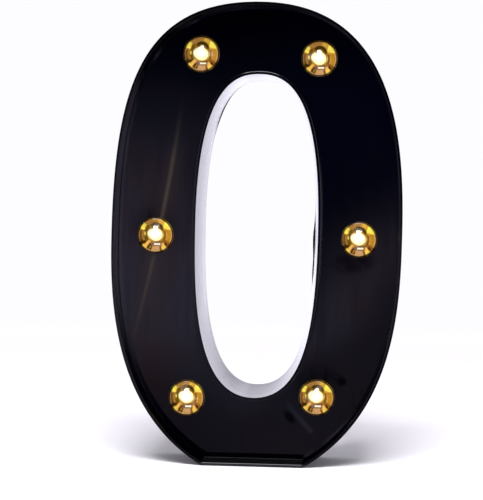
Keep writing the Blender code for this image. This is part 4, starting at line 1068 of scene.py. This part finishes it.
    fill = mix_colour(nt, map_range(nt, dz, -0.2, 1.0, 0.0, 1.0, "LINEAR"), (0.37, 0.365, 0.39), (0.66, 0.65, 0.68))
    colour = mix_colour(nt, path["Is Diffuse Ray"], colour, fill)
    colour = mix_colour(nt, path["Is Camera Ray"], colour, (0.985, 0.98, 1.0))
    nt.links.new(node(nt, "ShaderNodeBackground", {"Color": colour, "Strength": 1.0}).outputs[0], out.inputs[0])


def build_floor():
    """White studio floor that runs out into the white sweep. In front of the figure its mirror image is left to
    the room's own light."""
    mesh = bpy.data.meshes.new("studio_floor")
    s = 3.0
    mesh.from_pydata([(-s, -s, 0), (s, -s, 0), (s, s, 0), (-s, s, 0)], [], [(0, 1, 2, 3)])
    floor = link(bpy.data.objects.new("studio_floor", mesh))
    floor.location.z = -0.0001
    mat = bpy.data.materials.new("studio_floor_white")
    mat.use_nodes = True
    nt = mat.node_tree
    nt.nodes.clear()
    out = node(nt, "ShaderNodeOutputMaterial")
    at = coords(nt)
    y = node(nt, "ShaderNodeSeparateXYZ", {0: at}).outputs[1]
    tone = mix_colour(nt, noise(nt, at, 3.0, 2.0), (0.765, 0.75, 0.795), (0.775, 0.76, 0.805))
    plain = node(nt, "ShaderNodeBsdfDiffuse", {"Color": tone}).outputs[0]
    clear = node(nt, "ShaderNodeBsdfTransparent").outputs[0]
    reach = node(nt, "ShaderNodeVectorMath", {0: at}, operation="LENGTH").outputs["Value"]
    fade = map_range(nt, reach, 0.40, 0.95, 0.0, 1.0)
    mirrored = node(nt, "ShaderNodeLightPath").outputs["Is Glossy Ray"]
    before = map_range(nt, y, -0.028, -0.036, 0.0, 1.0)
    gone = math_node(nt, "MAXIMUM", math_node(nt, "MULTIPLY", mirrored, before), fade)
    mixed = node(nt, "ShaderNodeMixShader", {0: gone, 1: plain, 2: clear})
    nt.links.new(mixed.outputs[0], out.inputs[0])
    mesh.materials.append(mat)
    return floor


def area_light(name, place, target, size, power, colour=(1, 1, 1)):
    data = bpy.data.lights.new(name, "AREA")
    data.shape, data.size, data.size_y = "RECTANGLE", size[0], size[1]
    data.energy, data.color = power, colour
    obj = link(bpy.data.objects.new(name, data))
    obj.location = place
    obj.rotation_mode = "QUATERNION"
    obj.rotation_quaternion = (Vector(target) - Vector(place)).to_track_quat("-Z", "Y")
    return obj


def build_camera():
    """The photograph's viewpoint: 1.2 m away, a little above the middle, turned, tilted and rolled slightly."""
    data = bpy.data.cameras.new("camera")
    data.lens, data.sensor_width, data.sensor_fit = 182.47, 36.0, "AUTO"
    data.clip_start, data.clip_end = 0.01, 100.0
    cam = link(bpy.data.objects.new("camera", data))
    yaw, pitch, roll = math.radians(-2.78), math.radians(-2.58), math.radians(1.16)
    forward = Vector((math.sin(yaw) * math.cos(pitch), math.cos(yaw) * math.cos(pitch), math.sin(pitch)))
    right = Vector((math.cos(yaw), -math.sin(yaw), 0))
    up = right.cross(forward)
    r2 = right * math.cos(roll) + up * math.sin(roll)
    u2 = -right * math.sin(roll) + up * math.cos(roll)
    m = Matrix((r2, u2, -forward)).transposed().to_4x4()
    m.translation = Vector((0.0512, -1.2181, 0.1567))
    cam.matrix_world = m
    SCENE.camera = cam
    return cam


def main():
    build_camera()
    build_world()
    build_floor()
    area_light("key_softbox", (-0.04, -1.22, 1.46), (0.0, 0.0, 0.08), (0.90, 0.72), 60.0)
    build_shell()
    build_lamps()
    finish_nodes()
    view = SCENE.view_settings
    view.view_transform, view.look = "Standard", "None"
    view.exposure, view.gamma = 0.0, 1.0
    bpy.context.view_layer.update()


main()
